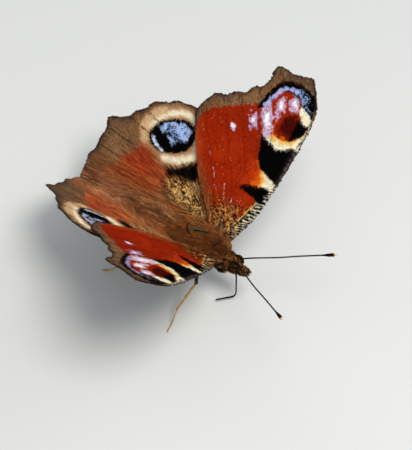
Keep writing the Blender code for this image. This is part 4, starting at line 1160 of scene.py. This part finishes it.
# Tubes along a path
def sweep(bm, path, radii, segments=10, depth=1.0):
    # Carries one ring of vertices along the path; "along" keeps each ring's place
    layer = bm.verts.layers.float.get("along") or bm.verts.layers.float.new("along")
    path = [Vector(p) for p in path]
    gone = 0.0
    frames = []
    side = None
    for i, spot in enumerate(path):
        way = (path[min(i + 1, len(path) - 1)] - path[max(i - 1, 0)]).normalized()
        if side is None:
            side = way.orthogonal() if abs(way.z) > 0.9 else Vector((0, 0, 1)).cross(way)
        side = (side - way * side.dot(way)).normalized()
        other = way.cross(side)
        radius = max(radii[i], 1e-3)
        frames.append(Matrix(((side.x * radius, other.x * radius * depth, way.x, spot.x),
                              (side.y * radius, other.y * radius * depth, way.y, spot.y),
                              (side.z * radius, other.z * radius * depth, way.z, spot.z),
                              (0, 0, 0, 1))))
    made = bmesh.ops.create_circle(bm, cap_ends=True, segments=segments, radius=1.0, matrix=frames[0])
    ring = list({e for v in made["verts"] for e in v.link_edges})
    for v in made["verts"]:
        v[layer] = 0.0
    for i in range(1, len(frames)):
        gone += (path[i] - path[i - 1]).length
        grown = bmesh.ops.extrude_edge_only(bm, edges=ring)["geom"]
        ring = [g for g in grown if isinstance(g, bmesh.types.BMEdge)]
        carry = frames[i] @ frames[i - 1].inverted()
        for v in (g for g in grown if isinstance(g, bmesh.types.BMVert)):
            v.co = carry @ v.co
            v[layer] = gone
    bmesh.ops.edgeloop_fill(bm, edges=ring)


def alongOf(mesh):
    values = np.empty(len(mesh.vertices), np.float32)
    mesh.attributes["along"].data.foreach_get("value", values)
    return values.astype(float)


def finishMesh(bm, name):
    bmesh.ops.recalc_face_normals(bm, faces=bm.faces[:])
    mesh = bpy.data.meshes.new(name)
    bm.to_mesh(mesh)
    bm.free()
    return mesh


def placeMesh(mesh):
    points = toRow(meshPoints(mesh))
    mesh.vertices.foreach_set("co", points.astype(np.float32).ravel())
    mesh.update()


def mirrored(path, side):
    return [(p[0] * sides[side], p[1], p[2]) for p in path]


# Body: one skin
body = {
    # place along the body, radius, height of the axis
    "profile": [(-7.98, 0.2, -1.05), (-7.88, 0.5, -1.02), (-7.62, 0.78, -0.97), (-7.2, 0.96, -0.92),
                (-6.7, 1.04, -0.86), (-6.2, 1.02, -0.8), (-5.8, 0.98, -0.68), (-5.45, 1.02, -0.5),
                (-5.15, 1.2, -0.3), (-4.85, 1.46, -0.12), (-4.3, 1.78, 0.0), (-3.3, 2.1, 0.0),
                (-2.0, 2.32, 0.02), (-0.6, 2.42, 0.05), (0.9, 2.38, 0.05), (2.2, 2.2, 0.0),
                (3.2, 1.95, -0.08), (4.0, 1.7, -0.2), (4.55, 1.5, -0.32), (5.0, 1.5, -0.42)],
    "depth": 1.06,
    "steps": 40,
    "abdomen": {"start": 5.1, "length": 8.3, "radius": 1.78, "segments": 7, "groove": 0.09,
                "drop": (0.45, 0.9)},
    "palp": {"path": [(0.4, -7.4, -1.32), (0.42, -8.1, -1.36), (0.37, -8.7, -1.3), (0.24, -9.2, -1.12)],
             "radii": [0.3, 0.35, 0.29, 0.12]},
    "foreleg": {"path": [(0.7, -3.2, -1.5), (1.0, -3.9, -2.1), (1.14, -4.5, -2.38), (1.24, -5.1, -2.4),
                         (1.2, -5.8, -2.22)],
                "radii": [0.34, 0.24, 0.22, 0.22, 0.16]},
    "voxel": 0.1,
}


def bodyProfile():
    rule = body["abdomen"]
    rows = list(body["profile"])
    for k in range(1, 58):
        t = k / 58
        swell = math.sin(math.pi * (0.30 + 0.68 * t)) ** 0.62
        groove = rule["groove"] * (0.5 + 0.5 * math.cos(2 * math.pi * rule["segments"] * t)) ** 3
        drop = rule["drop"][0] + (rule["drop"][1] - rule["drop"][0]) * t
        rows.append((rule["start"] + rule["length"] * t, rule["radius"] * swell - groove * swell, -drop))
    rows.append((rule["start"] + rule["length"], 0.12, -rule["drop"][1]))
    return rows


def makeSkin():
    rows = bodyProfile()
    heights = np.array([(y, h) for y, r, h in rows])
    bm = bmesh.new()
    line = [bm.verts.new((0, rows[0][0] - 0.02, 0))]
    line += [bm.verts.new((0, y, r)) for y, r, h in rows]
    line.append(bm.verts.new((0, rows[-1][0] + 0.05, 0)))
    edges = [bm.edges.new(pair) for pair in zip(line, line[1:])]
    bmesh.ops.spin(bm, geom=[*line, *edges], cent=(0, 0, 0), axis=(0, 1, 0), angle=math.tau,
                   steps=body["steps"], use_merge=True)
    bmesh.ops.remove_doubles(bm, verts=bm.verts[:], dist=1e-4)
    for v in bm.verts:
        v.co.z = v.co.z * body["depth"] + float(np.interp(v.co.y, heights[:, 0], heights[:, 1]))
        face = ramp(np.array([-5.6 - v.co.y]), 0, 0.8)[0]
        v.co.x *= 1 - 0.12 * face
    for side in sides:
        for part in ("palp", "foreleg"):
            path = curveThrough(mirrored(body[part]["path"], side), 0.15)
            spread = np.linspace(0, 1, len(body[part]["radii"]))
            radii = np.interp(np.linspace(0, 1, len(path)), spread, body[part]["radii"])
            sweep(bm, path, radii, 12)
        socket = Matrix.Translation((sides[side] * 0.4, -7.05, 0.02)) @ Matrix.Scale(0.3, 4)
        bmesh.ops.create_icosphere(bm, subdivisions=2, radius=1.0, matrix=socket)
    mouth = Matrix.Translation((0, -7.6, -1.25)) @ Matrix.Diagonal((0.56, 0.56, 0.6, 1))
    bmesh.ops.create_icosphere(bm, subdivisions=3, radius=1.0, matrix=mouth)
    holder = bpy.data.objects.new("bodyForm", finishMesh(bm, "bodyForm"))
    bpy.context.scene.collection.objects.link(holder)
    fused = holder.modifiers.new("one skin", "REMESH")
    fused.mode = "VOXEL"
    fused.voxel_size = body["voxel"]
    eased = holder.modifiers.new("eased", "SMOOTH")
    eased.factor = 0.5
    eased.iterations = 4
    seen = holder.evaluated_get(bpy.context.evaluated_depsgraph_get())
    skin = bpy.data.meshes.new_from_object(seen)
    bpy.data.objects.remove(holder)
    skin.name = "body_skin"
    return skin


# Rubbed, greyish patch on the thorax, partly wear and partly a painted highlight, and painted shade in the
# creases of the fur round it
foldShadeAndHighlight = {
    "rubbedHighlight": {"line": [(-0.5, 1.4), (-0.35, 0.4), (-0.15, -0.9)], "spread": 0.24, "layers": 2,
              "ink": tone(112, 96, 68)},
    "side": {"line": [(0.1, 1.7), (-0.4, 1.9), (-0.95, 1.6), (-1.45, 0.8), (-1.7, -0.2)], "spread": 0.09,
             "layers": 2, "ink": tone(38, 24, 15)},
    "middle": {"line": [(-0.75, 0.6), (-0.45, -0.3), (-0.1, -1.3)], "spread": 0.05, "layers": 3,
               "ink": tone(24, 15, 10)},
    "front": {"line": [(-1.1, -3.2), (-0.5, -3.7), (0.3, -3.9)], "spread": 0.06, "layers": 2,
              "ink": tone(34, 21, 13)},
}


def bodyColours(points, seed):
    rng = np.random.default_rng(seed)
    x, y, z = points.T
    flat = np.column_stack([x + 0.4 * z, y])
    broad = noise(flat, 1.2, 31)
    fine = noise(flat, 0.35, 32)
    streak = noise(np.column_stack([x + 0.7 * z + 0.05 * y, y]), (0.22, 2.4), 33)
    colours, lay = baseCoat(len(points), (119, 68, 30))
    lay(ramp(broad, -0.2, 0.9) * 0.6, (154, 90, 42))
    lay(ramp(fine, 0.1, 0.9) * 0.35, (80, 47, 22))
    lay(ramp(y, -0.5, 3.0) * ramp(np.abs(x) + 0.3 * broad, 0.5, 1.4) * 0.6, (166, 96, 44))
    lay(ramp(-2.4 - y, 0.0, 2.2) * 0.35, (92, 54, 26))
    lay(ramp(-0.2 - z, 0, 1.3) * 0.65, (62, 42, 29))
    lay(ramp(streak, 0.2, 0.9) * ramp(z, -0.4, 0.6) * 0.5, (180, 106, 50))
    lay(ramp(-streak, 0.3, 1.0) * ramp(z, -0.4, 0.6) * 0.4, (66, 40, 21))
    back = ramp(y + 0.6 * broad, 2.0, 5.6)
    lay(back * 0.75, (164, 106, 66))
    lay(back * ramp(streak, 0.1, 0.9) * 0.6, (204, 152, 106))
    lay(back * ramp(-streak, 0.1, 0.9) * 0.6, (88, 58, 40))
    lay(back * ramp(np.abs(x), 0.6, 1.3) * ramp(z + 1.2, 0, 0.5) * 0.5, (166, 96, 50))
    lay(back * ramp(-z, 1.2, 2.2) * 0.6, (50, 38, 31))
    # Dark speckled head, cheeks and forelegs
    neck = ramp(-3.4 - y, 0, 0.7) * ramp(0.35 - z + 0.25 * (-4.6 - y), 0, 0.5)
    head = np.maximum(ramp(-5.7 - y + 0.3 * z, -0.3, 0.4), neck)
    wrapped = np.column_stack([np.arctan2(x, z + 0.9) * 1.2, y])
    fleck = noise(wrapped, (0.13, 0.22), 34)
    lay(head * 0.97, (40, 24, 14))
    lay(head * ramp(-fleck, 0.0, 0.2) * 0.95, (10, 7, 5))
    lay(head * ramp(fleck, 0.36, 0.5) * ramp(z, -1.9, -0.9), (204, 128, 64))
    lay(head * ramp(-1.3 - z, 0, 0.5) * 0.85, (12, 8, 6))
    lay(head * ramp(-6.9 - y - 0.8 * z, 0.2, 1.2) * (rng.random(len(points)) < 0.55), (14, 10, 8))
    # Rubbed patch with its painted highlight, and painted shade in the fur creases, over the hind part of
    # the thorax
    top = ramp(z, 0.8, 1.5)
    plan = np.column_stack([x + 0.1 * fine, y])
    for rule in foldShadeAndHighlight.values():
        near = ramp(rule["spread"] + 0.08 - lineDistance(plan, rule["line"]) + 0.1 * fine, 0, 0.2)
        lay(top * near * 0.5, rule["ink"])
    return colours


def bodyUnwrap(points):
    x, y, z = points.T
    turn = np.arctan2(x, z + 0.3) / (2 * math.pi) + 0.5
    spot = np.column_stack([0.03 + 0.6 * turn, 0.03 + 0.94 * (y + 8.2) / 22.0])
    for i, side in enumerate(sides):
        for j, part in enumerate(("palp", "foreleg")):
            here = partDistance(points, part, side) < 0.08
            if part == "palp":
                here &= y < -7.7
            around = np.arctan2(z - z[here].mean() if here.any() else z, x - sides[side] * 0.7)
            u = 0.68 + 0.3 * (around / (2 * math.pi) + 0.5)
            v = 0.03 + 0.24 * (2 * i + j) + 0.22 * np.clip((y + 10.0) / 7.0, 0, 1)
            spot[here] = np.column_stack([u, v])[here]
    return spot


def partDistance(points, part, side):
    rule = body[part]
    path = np.array(mirrored(rule["path"], side))
    best = np.full(len(points), 1e9)
    for (a, ra), (b, rb) in zip(zip(path, rule["radii"]), zip(path[1:], rule["radii"][1:])):
        way = b - a
        t = np.clip(((points - a) @ way) / (way @ way), 0, 1)
        gap = np.linalg.norm(points - a - t[:, None] * way, axis=1) - (ra + (rb - ra) * t)
        best = np.minimum(best, gap)
    return best


bodySkin = makeSkin()
skinBare = meshPoints(bodySkin)
setTint(bodySkin, "tint", bodyColours(skinBare, 41) * 0.55)
placeMesh(bodySkin)
addPiece("body_skin", bodySkin, skinFinish,
         ["thorax", "head", "abdomen", "palp_left", "palp_right", "foreleg_left", "foreleg_right"])
print("body skin", len(bodySkin.polygons), "faces")


# Eyes
eye = {"centre": (0.69, -6.9, -0.75), "size": (0.76, 0.82, 0.92), "facets": 17000.0}


def eyeMaterial():
    made, tree, shader = newMaterial("compound eye", tone(40, 24, 16), 0.45, 0.22)
    shader.inputs["Coat Weight"].default_value = 0.06
    shader.inputs["Coat Roughness"].default_value = 0.2
    facets = addPattern(tree, "TexVoronoi", {"Scale": eye["facets"]})
    blotch = addPattern(tree, "TexNoise", {"Scale": 2500.0})
    shades = tree.nodes.new("ShaderNodeValToRGB")
    dark, light = shades.color_ramp.elements
    dark.color, dark.position = (*tone(20, 12, 9), 1), 0.35
    light.color, light.position = (*tone(58, 36, 23), 1), 0.7
    tree.links.new(blotch.outputs["Fac"], shades.inputs["Fac"])
    tree.links.new(shades.outputs["Color"], shader.inputs["Base Color"])
    addBump(tree, shader, facets.outputs["Distance"], 0.5, invert=True)
    return made


eyeFinish = eyeMaterial()
eyeballs = {}
for side in sides:
    bm = bmesh.new()
    cx, cy, cz = eye["centre"]
    place = Matrix.Translation((cx * sides[side], cy, cz)) @ Matrix.Diagonal((*eye["size"], 1))
    bmesh.ops.create_icosphere(bm, subdivisions=5, radius=1.0, matrix=place)
    mesh = finishMesh(bm, "eye_" + side)
    placeMesh(mesh)
    addPiece("eyeball_" + side, mesh, eyeFinish, ["eye_" + side])
    eyeballs[side] = mesh
print("eyes made")


# Body fur
fur = {
    "thorax": {"density": 86, "length": 1.0, "width": 0.07, "stand": 0.38},
    "abdomen": {"density": 88, "length": 1.2, "width": 0.065, "stand": 0.26},
    "head": {"density": 210, "length": 0.46, "width": 0.05, "stand": 0.6},
    "limb": {"density": 210, "length": 0.6, "width": 0.05, "stand": 0.6},
    "eye": {"density": 520, "length": 0.22, "width": 0.032, "stand": 0.8},
}


def skinSpots(mesh, density, seed):
    rng = np.random.default_rng(seed)
    mesh.calc_loop_triangles()
    count = len(mesh.loop_triangles)
    corners = np.empty(count * 3, np.int32)
    mesh.loop_triangles.foreach_get("vertices", corners)
    corners = corners.reshape(-1, 3)
    points = meshPoints(mesh) / mm - bodyCentre
    normals = np.empty(len(points) * 3, np.float32)
    mesh.vertex_normals.foreach_get("vector", normals)
    normals = normals.reshape(-1, 3).astype(float)
    a, b, c = points[corners[:, 0]], points[corners[:, 1]], points[corners[:, 2]]
    area = np.linalg.norm(np.cross(b - a, c - a), axis=1) / 2
    wanted = area * density((a + b + c) / 3)
    times = np.floor(wanted + rng.random(count)).astype(int)
    chosen = np.repeat(np.arange(count), times)
    u, v = rng.random(len(chosen)), rng.random(len(chosen))
    flip = u + v > 1
    u[flip], v[flip] = 1 - u[flip], 1 - v[flip]
    w = 1 - u - v
    share = np.column_stack([w, u, v])
    tri = corners[chosen]
    spots = np.einsum("nk,nkd->nd", share, points[tri])
    up = np.einsum("nk,nkd->nd", share, normals[tri])
    return spots, unit(up), rng


def partOf(points):
    y = points[:, 1]
    part = np.where(y > 4.7, 1, np.where(y > -5.3, 0, 2))
    for side in sides:
        part[(partDistance(points, "palp", side) < 0.1) & (y < -7.7)] = 3
        part[(partDistance(points, "foreleg", side) < 0.08) & (points[:, 2] < -1.9)] = 3
    return part


def cheekOf(points, part):
    # Under the neck and beside the mouth the hair is long and points down and out
    y, z = points[:, 1], points[:, 2]
    return (part < 3) * ramp(-3.8 - y, 0, 1.0) * ramp(y, -7.5, -6.9) * ramp(-0.3 - z, 0, 0.8)


def lieOf(points, part):
    x, y, z = points.T
    lie = np.zeros_like(points)
    lie[:, 1] = 1.0
    lie[:, 2] = -0.15
    lie[:, 0] = 0.10 * np.sign(x) * np.abs(x)
    turn = 0.5 * noise(np.column_stack([x + 0.5 * z, y]), 1.5, 51)
    # Swirl over the back of the thorax
    reach = np.exp(-((x + 0.1) ** 2 + (y - 0.9) ** 2) / 1.2) * (z > 0)
    turn = turn + 1.5 * reach
    c, s = np.cos(turn), np.sin(turn)
    lie[:, 0], lie[:, 1] = lie[:, 0] * c - lie[:, 1] * s, lie[:, 0] * s + lie[:, 1] * c
    head = part == 2
    lie[head] = np.column_stack([0.3 * x[head], -0.5 - 0.2 * (y[head] < -7.0), 0.4 + 0 * x[head]])
    cheek = cheekOf(points, part)[:, None]
    lie += cheek * (np.column_stack([0.8 * x, -0.9 + 0 * x, -0.5 + 0 * x]) - lie)
    limb = part == 3
    lie[limb] = [0.0, -1.0, 0.1]
    return lie


def foldLocksWithPaintedLight(rng):
    # Strands laid over the fur along the fold lines, in the colours of the painted highlight and painted
    # shade
    places, radii, heights = np.array(body["profile"]).T
    parts = []
    for rule in foldShadeAndHighlight.values():
        line = curveThrough([(*spot, 0.0) for spot in rule["line"]], 0.07)
        way = np.repeat(np.gradient(line, axis=0), rule["layers"], axis=0)
        line = np.repeat(line, rule["layers"], axis=0)
        line = line + rng.normal(0, 1, line.shape) * [rule["spread"], 0.05, 0.0]
        across, back = line[:, 0], line[:, 1]
        rise = np.sqrt(np.maximum(np.interp(back, places, radii) ** 2 - across ** 2, 0.2))
        up = unit(np.column_stack([across, 0 * across, rise]))
        height = np.interp(back, places, heights) + body["depth"] * rise
        roots = np.column_stack([across, back, height]) + up * 0.24
        way = unit(flattened(way, up))
        count = len(roots)
        width = 0.05 + 0.03 * rng.random(count)
        colours = rule["ink"] * (0.4 + 0.9 * rng.random((count, 1)))
        parts.append(scatter(longHair, roots, way, up, 0.35 + 0.25 * rng.random(count), width, width * 0.6,
                             colours, bodyUnwrap(roots), -up * 0.12))
    return parts


def insideEye(points, side):
    middle = np.array(eye["centre"]) * [sides[side], 1, 1]
    return np.linalg.norm((points - middle) / (np.array(eye["size"]) * 0.97), axis=1) < 1


def makeBodyFur():
    names = ("thorax", "abdomen", "head", "limb")

    def density(points):
        wanted = np.array([fur[n]["density"] for n in names], float)[partOf(points)]
        for side in sides:
            wanted[insideEye(points, side)] = 0
        return wanted

    spots, up, rng = skinSpots(bodySkin, density, 61)
    x, y, z = spots.T
    count = len(spots)
    part = partOf(spots)
    lie = flattened(lieOf(spots, part), up)
    lie /= np.linalg.norm(lie, axis=1)[:, None] + 1e-9
    lie = unit(flattened(lie + rng.normal(0, 0.13, lie.shape), up))

    def pick(key):
        return np.array([fur[n][key] for n in names])[part]

    stand = np.clip(rng.normal(pick("stand"), 0.12), 0.1, 1.2)
    length = pick("length") * (0.65 + 0.7 * rng.random(count))
    # Longer locks from the flanks of the thorax, over the wing roots
    flank = (part == 0) * ramp(np.abs(x), 0.9, 2.0) * ramp(y, -3.0, 0.5) * (z > -0.6)
    length *= 1 + 0.9 * flank + 0.6 * (part == 0) * ramp(y, 2.6, 4.2)
    bare = ramp(1.2 - lineDistance(spots[:, :2], foldShadeAndHighlight["rubbedHighlight"]["line"]), 0, 0.7) * (z > 0.8)
    length *= 1 - 0.45 * bare
    stand *= 1 - 0.4 * bare
    stand *= 1 - 0.35 * flank
    collar = ramp(y, -6.3, -5.6) * ramp(-4.3 - y, 0, 0.7)
    cheek = cheekOf(spots, part)
    length += 0.55 * collar * (part == 2) + 0.85 * cheek
    stand += 0.35 * (collar + cheek)
    length[(part == 3) & (y < -7.0)] *= 1.25
    way = lie * np.cos(stand)[:, None] + up * np.sin(stand)[:, None]
    curl = -up * (0.5 * np.sin(stand))[:, None]
    shade = rng.choice([0.45, 0.8, 1.15, 1.75], count, p=[0.25, 0.32, 0.27, 0.16])
    colours = bodyColours(spots, 62) * shade[:, None]
    # Broad pale scales among the dark hair of the head
    scaled = ((part >= 2) | (y < -3.6) & (z < 0)) & (rng.random(count) < 0.06)
    colours[scaled] = tone(190, 128, 70) * (0.7 + 0.5 * rng.random((scaled.sum(), 1)))
    breadth = pick("width") * np.where(scaled, 2.4, 1.0)
    unwrap = bodyUnwrap(spots)
    for name, here, template in (("thorax_fur", part == 0, longHair), ("abdomen_fur", part == 1, longHair),
                                 ("head_fur", part >= 2, shortHair)):
        width = (breadth * varied(rng, count))[here]
        made = scatter(template, spots[here] - up[here] * 0.03, way[here], up[here], length[here], width,
                       width * 0.8, colours[here], unwrap[here], curl[here])
        coatPiece(name, [made] + (foldLocksWithPaintedLight(rng) if name == "thorax_fur" else []), hairFinish)


def makeEyeHair(side):
    # Short fine hairs stand between the facets
    rule = fur["eye"]
    spots, up, rng = skinSpots(eyeballs[side], lambda points: np.full(len(points), rule["density"]), 64)
    outer = spots[:, 0] * sides[side] > eye["centre"][0] - 0.15
    spots, up = spots[outer], up[outer]
    count = len(spots)
    lean = np.tile([0.0, -0.3, -0.5], (count, 1)) + rng.normal(0, 0.3, (count, 3))
    way = unit(up * math.sin(rule["stand"]) + lean * math.cos(rule["stand"]))
    length = rule["length"] * varied(rng, count)
    colours = tone(44, 27, 16) * rng.choice([0.4, 1.0, 1.8], (count, 1), p=[0.45, 0.35, 0.2])
    paint(colours, ramp(noise(spots[:, 1:], 0.16, 65), 0.35, 0.5) * 0.8, (170, 104, 54))
    middle = np.array(eye["centre"]) * [sides[side], 1, 1]
    unwrap = 0.5 + 0.22 * ((spots - middle) / np.array(eye["size"]))[:, 1:]
    made = scatter(shortHair, spots, way, unit(np.cross(up, [0.3, 0.2, 0.9])), length, rule["width"],
                   rule["width"], colours, unwrap)
    coatPiece("eye_hair_" + side, [made], hairFinish)


makeBodyFur()
for side in sides:
    makeEyeHair(side)
print("body fur made")


# Antennae
antenna = {
    "path": [(0.4, -7.05, 0.05), (0.6, -7.45, 0.34), (1.6, -9.15, 0.86), (3.4, -12.25, 1.6),
             (5.1, -15.3, 2.65), (6.65, -18.1, 3.5), (7.6, -19.88, 4.05)],
    "shaft": 0.115, "club": 0.27, "clubStart": 0.845, "segment": 0.36,
}


def makeAntenna(side):
    path = curveThrough(mirrored(antenna["path"], side), 0.06)
    length = np.concatenate([[0], np.cumsum(np.linalg.norm(np.diff(path, axis=0), axis=1))])
    t = length / length[-1]
    ringPlace = (length / antenna["segment"]) % 1.0
    radii = antenna["shaft"] * (0.95 + 0.12 * np.exp(-((ringPlace - 0.5) / 0.3) ** 2))
    swell = ramp(t, antenna["clubStart"], antenna["clubStart"] + 0.09)
    radii = radii + (antenna["club"] - antenna["shaft"]) * swell
    radii *= np.sqrt(np.clip((1.0 - t) / 0.035, 0.02, 1))
    radii += 0.16 * np.exp(-((length - 0.15) / 0.2) ** 2) + 0.07 * np.exp(-((length - 0.55) / 0.14) ** 2)
    bm = bmesh.new()
    sweep(bm, path, radii, 12)
    mesh = finishMesh(bm, "antenna_" + side)
    gone = alongOf(mesh)
    share = gone / gone.max()
    ringHere = (gone / antenna["segment"]) % 1.0
    colours, lay = baseCoat(len(gone), (16, 12, 9))
    pale = ramp(0.15 - np.abs(ringHere - 0.12), 0, 0.08) * ramp(0.86 - share, 0, 0.03) * ramp(gone, 2.2, 3.2)
    lay(ramp(3.0 - gone, 0, 1.5) * 0.7, (10, 8, 6))
    lay(pale * 0.7, (150, 136, 112))
    lay(ramp(share, 0.85, 0.88), (26, 20, 16))
    lay(ramp(share, 0.965, 0.985), (232, 200, 144))
    setTint(mesh, "tint", colours)
    placeMesh(mesh)
    addPiece("feeler_" + side, mesh, feelerFinish, ["antenna_" + side])


for side in sides:
    makeAntenna(side)
print("antennae made")


# Proboscis
proboscis = {
    "path": [(0.0, -7.5, -1.5), (0.0, -7.36, -2.1), (0.0, -7.32, -2.8), (-0.08, -7.6, -5.0),
             (-0.36, -7.95, -6.8), (-0.62, -7.98, -7.25), (-1.1, -7.68, -7.42), (-3.05, -6.05, -7.42)],
    "radii": [0.2, 0.17, 0.13, 0.12, 0.12, 0.12, 0.11, 0.085],
}


def makeProboscis():
    path = curveThrough(proboscis["path"], 0.08)
    spread = np.linspace(0, 1, len(proboscis["radii"]))
    radii = np.interp(np.linspace(0, 1, len(path)), spread, proboscis["radii"])
    radii *= 1 + 0.035 * np.sin(np.arange(len(path)) * 2.1)
    radii[-1] *= 0.4
    bm = bmesh.new()
    for shift in (-0.5, 0.5):     # the tongue is two halves laid together
        offset = np.array([0.085 * shift, 0.03 * shift, 0.0])
        sweep(bm, path + offset, radii * 0.8, 10)
    mesh = finishMesh(bm, "tongue")
    gone = alongOf(mesh)
    colours, lay = baseCoat(len(gone), (8, 6, 5))
    lay(ramp(np.sin(gone * 26), 0.2, 1.0) * 0.4, (26, 19, 15))
    setTint(mesh, "tint", colours)
    placeMesh(mesh)
    addPiece("tongue", mesh, feelerFinish, ["proboscis_base", "proboscis_tip"])


makeProboscis()
print("proboscis made")


# Walking legs
legs = {
    "mid_left": {"hip": (1.0, -0.8, -1.6), "knee": (5.3, -1.9, -2.4), "ankle": (8.6, -0.9, -5.5),
                 "ball": (10.2, -0.9, -7.86), "toe": (11.25, -0.9, -7.87)},
    "mid_right": {"hip": (1.0, -0.8, -1.6), "knee": (5.6, -3.6, -2.4), "ankle": (9.2, -2.95, -5.5),
                  "ball": (11.1, -3.15, -7.86), "toe": (12.25, -3.3, -7.87)},
    "hind": {"hip": (0.9, 1.6, -1.5), "knee": (4.4, 5.0, -3.3), "ankle": (6.4, 8.2, -5.6),
             "ball": (7.9, 10.2, -7.86), "toe": (8.65, 11.15, -7.87)},
    "femur": [(0.0, 0.34), (0.3, 0.31), (0.7, 0.25), (0.93, 0.19), (1.0, 0.12)],
    "tibia": [(0.0, 0.12), (0.06, 0.16), (0.4, 0.17), (0.85, 0.165), (0.97, 0.17), (1.0, 0.12)],
    "joints": 5,
    "tarsus": 0.115,
    "spines": [
        ("thigh", {"radius": 0.24, "perMm": 110, "length": 0.36, "width": 0.05, "lean": 0.3,
                   "colour": (58, 40, 27)}),
        ("shin", {"radius": 0.16, "perMm": 60, "length": 0.2, "width": 0.035, "lean": 0.3,
                  "colour": (186, 142, 72)}),
        ("shin", {"radius": 0.16, "perMm": 5, "length": 0.34, "width": 0.045, "lean": 0.6,
                  "colour": (70, 48, 26)}),
        ("foot", {"radius": 0.09, "perMm": 14, "length": 0.16, "width": 0.03, "lean": 0.5,
                  "colour": (96, 64, 34)}),
    ],
}


def stretch(start, end, table, step=0.12):
    start, end = np.array(start), np.array(end)
    count = max(4, int(np.linalg.norm(end - start) / step))
    t = np.linspace(0, 1, count)
    table = np.array(table)
    return start + (end - start) * t[:, None], np.interp(t, table[:, 0], table[:, 1])


def legPiece(name, runs, nodes, paintLeg):
    bm = bmesh.new()
    for path, radii in runs:
        sweep(bm, path, radii, 12)
    mesh = finishMesh(bm, name)
    setTint(mesh, "tint", paintLeg(meshPoints(mesh), alongOf(mesh)))
    placeMesh(mesh)
    addPiece(name, mesh, hornFinish, nodes)


def spinesAlong(start, end, radius, rng, perMm, length, width, lean, colour):
    # Short bristles round a straight stretch, leaning to its far end
    start, end = np.array(start), np.array(end)
    way = end - start
    long = np.linalg.norm(way)
    way = way / long
    count = max(3, int(long * perMm))
    t = rng.random(count)
    turn = rng.random(count) * 2 * math.pi
    side = np.cross(way, [0.0, 0.0, 1.0])
    side /= np.linalg.norm(side)
    other = np.cross(way, side)
    up = side * np.cos(turn)[:, None] + other * np.sin(turn)[:, None]
    roots = start + way * (t * long)[:, None] + up * (radius * 0.85)
    direction = way * math.cos(lean) + up * math.sin(lean)
    size = varied(rng, count)
    colours = tone(*colour) * (0.8 + 0.4 * rng.random((count, 1)))
    unwrap = np.column_stack([0.1 + 0.8 * t, 0.1 + 0.8 * turn / (2 * math.pi)])
    return scatter(shortHair, roots, direction, up, length * size, width * size, width * size, colours,
                   unwrap)


def paintThigh(points, gone):
    colours, lay = baseCoat(len(points), (44, 31, 22))
    lay(ramp(gone / gone.max(), 0.85, 1.0), (120, 84, 44))
    return colours


def paintShank(points, gone):
    colours, lay = baseCoat(len(points), (204, 158, 78))
    lay(ramp(noise(points[:, :2] + points[:, 2:], 0.5, 81), 0.1, 0.8) * 0.4, (140, 98, 46))
    lay(ramp(0.3 - gone, 0, 0.25) * 0.8, (60, 42, 22))
    return colours


def makeLeg(kind, side, rng):
    places = legs["mid_" + side] if kind == "mid" else legs[kind]
    hip, knee, ankle, ball, toe = (np.array(places[name]) * [sides[side], 1, 1]
                                   for name in ("hip", "knee", "ankle", "ball", "toe"))
    hip = hip + (knee - hip) * 0.12
    legPiece(f"{kind}_thigh_{side}", [stretch(hip, knee, legs["femur"])],
             [f"{kind}_leg_femur_{side}"], paintThigh)
    path = curveThrough([ankle, ankle * 0.55 + ball * 0.45, ball, toe], 0.06)
    path[:, 2] = np.maximum(path[:, 2], legs["tarsus"] * 1.05 - bodyCentre[2] + 0.01)
    t = np.linspace(0, 1, len(path))
    radii = 0.72 + 0.34 * np.abs(np.sin(math.pi * legs["joints"] * t)) ** 0.5
    runs = [stretch(knee, ankle, legs["tibia"]), (path, legs["tarsus"] * radii * (1 - 0.15 * t))]
    # A pair of claws at the toe and a pair of spurs at the ankle
    toeWay = (toe - ball) / np.linalg.norm(toe - ball)
    shinWay = (ankle - knee) / np.linalg.norm(ankle - knee)
    across = np.cross(toeWay, [0, 0, 1.0])
    for way in (-1, 1):
        claw = curveThrough([path[-1], path[-1] + toeWay * 0.09 + across * way * 0.07 + [0, 0, 0.02],
                             path[-1] + toeWay * 0.13 + across * way * 0.12 + [0, 0, -0.05]], 0.04)
        runs.append((claw, np.linspace(0.045, 0.012, len(claw))))
    for way in (-1, 1):
        spur = [ankle - shinWay * 0.1, ankle + shinWay * 0.3 + across * way * 0.16]
        runs.append((np.array(spur), np.array([0.05, 0.012])))
    legPiece(f"{kind}_shank_{side}", runs,
             [f"{kind}_leg_tibia_{side}", f"{kind}_leg_tarsus_{side}"], paintShank)
    stretches = {"thigh": (hip, knee), "shin": (knee, ankle), "foot": (ankle, ball)}
    parts = [spinesAlong(*stretches[where], rng=rng, **rule) for where, rule in legs["spines"]]
    coatPiece(f"{kind}_leg_hair_{side}", parts, hairFinish)


legRng = np.random.default_rng(91)
for side in sides:
    for kind in ("mid", "hind"):
        makeLeg(kind, side, legRng)
print("legs made")


# Floor
def makeFloor():
    bm = bmesh.new()
    bmesh.ops.create_grid(bm, x_segments=2, y_segments=2, size=1.5)
    mesh = bpy.data.meshes.new("floor")
    bm.to_mesh(mesh)
    bm.free()
    floor = bpy.data.objects.new("floor", mesh)
    bpy.context.scene.collection.objects.link(floor)
    mesh.materials.append(newMaterial("pale floor", (0.72, 0.72, 0.70), 0.85, 0.2)[0])


makeFloor()
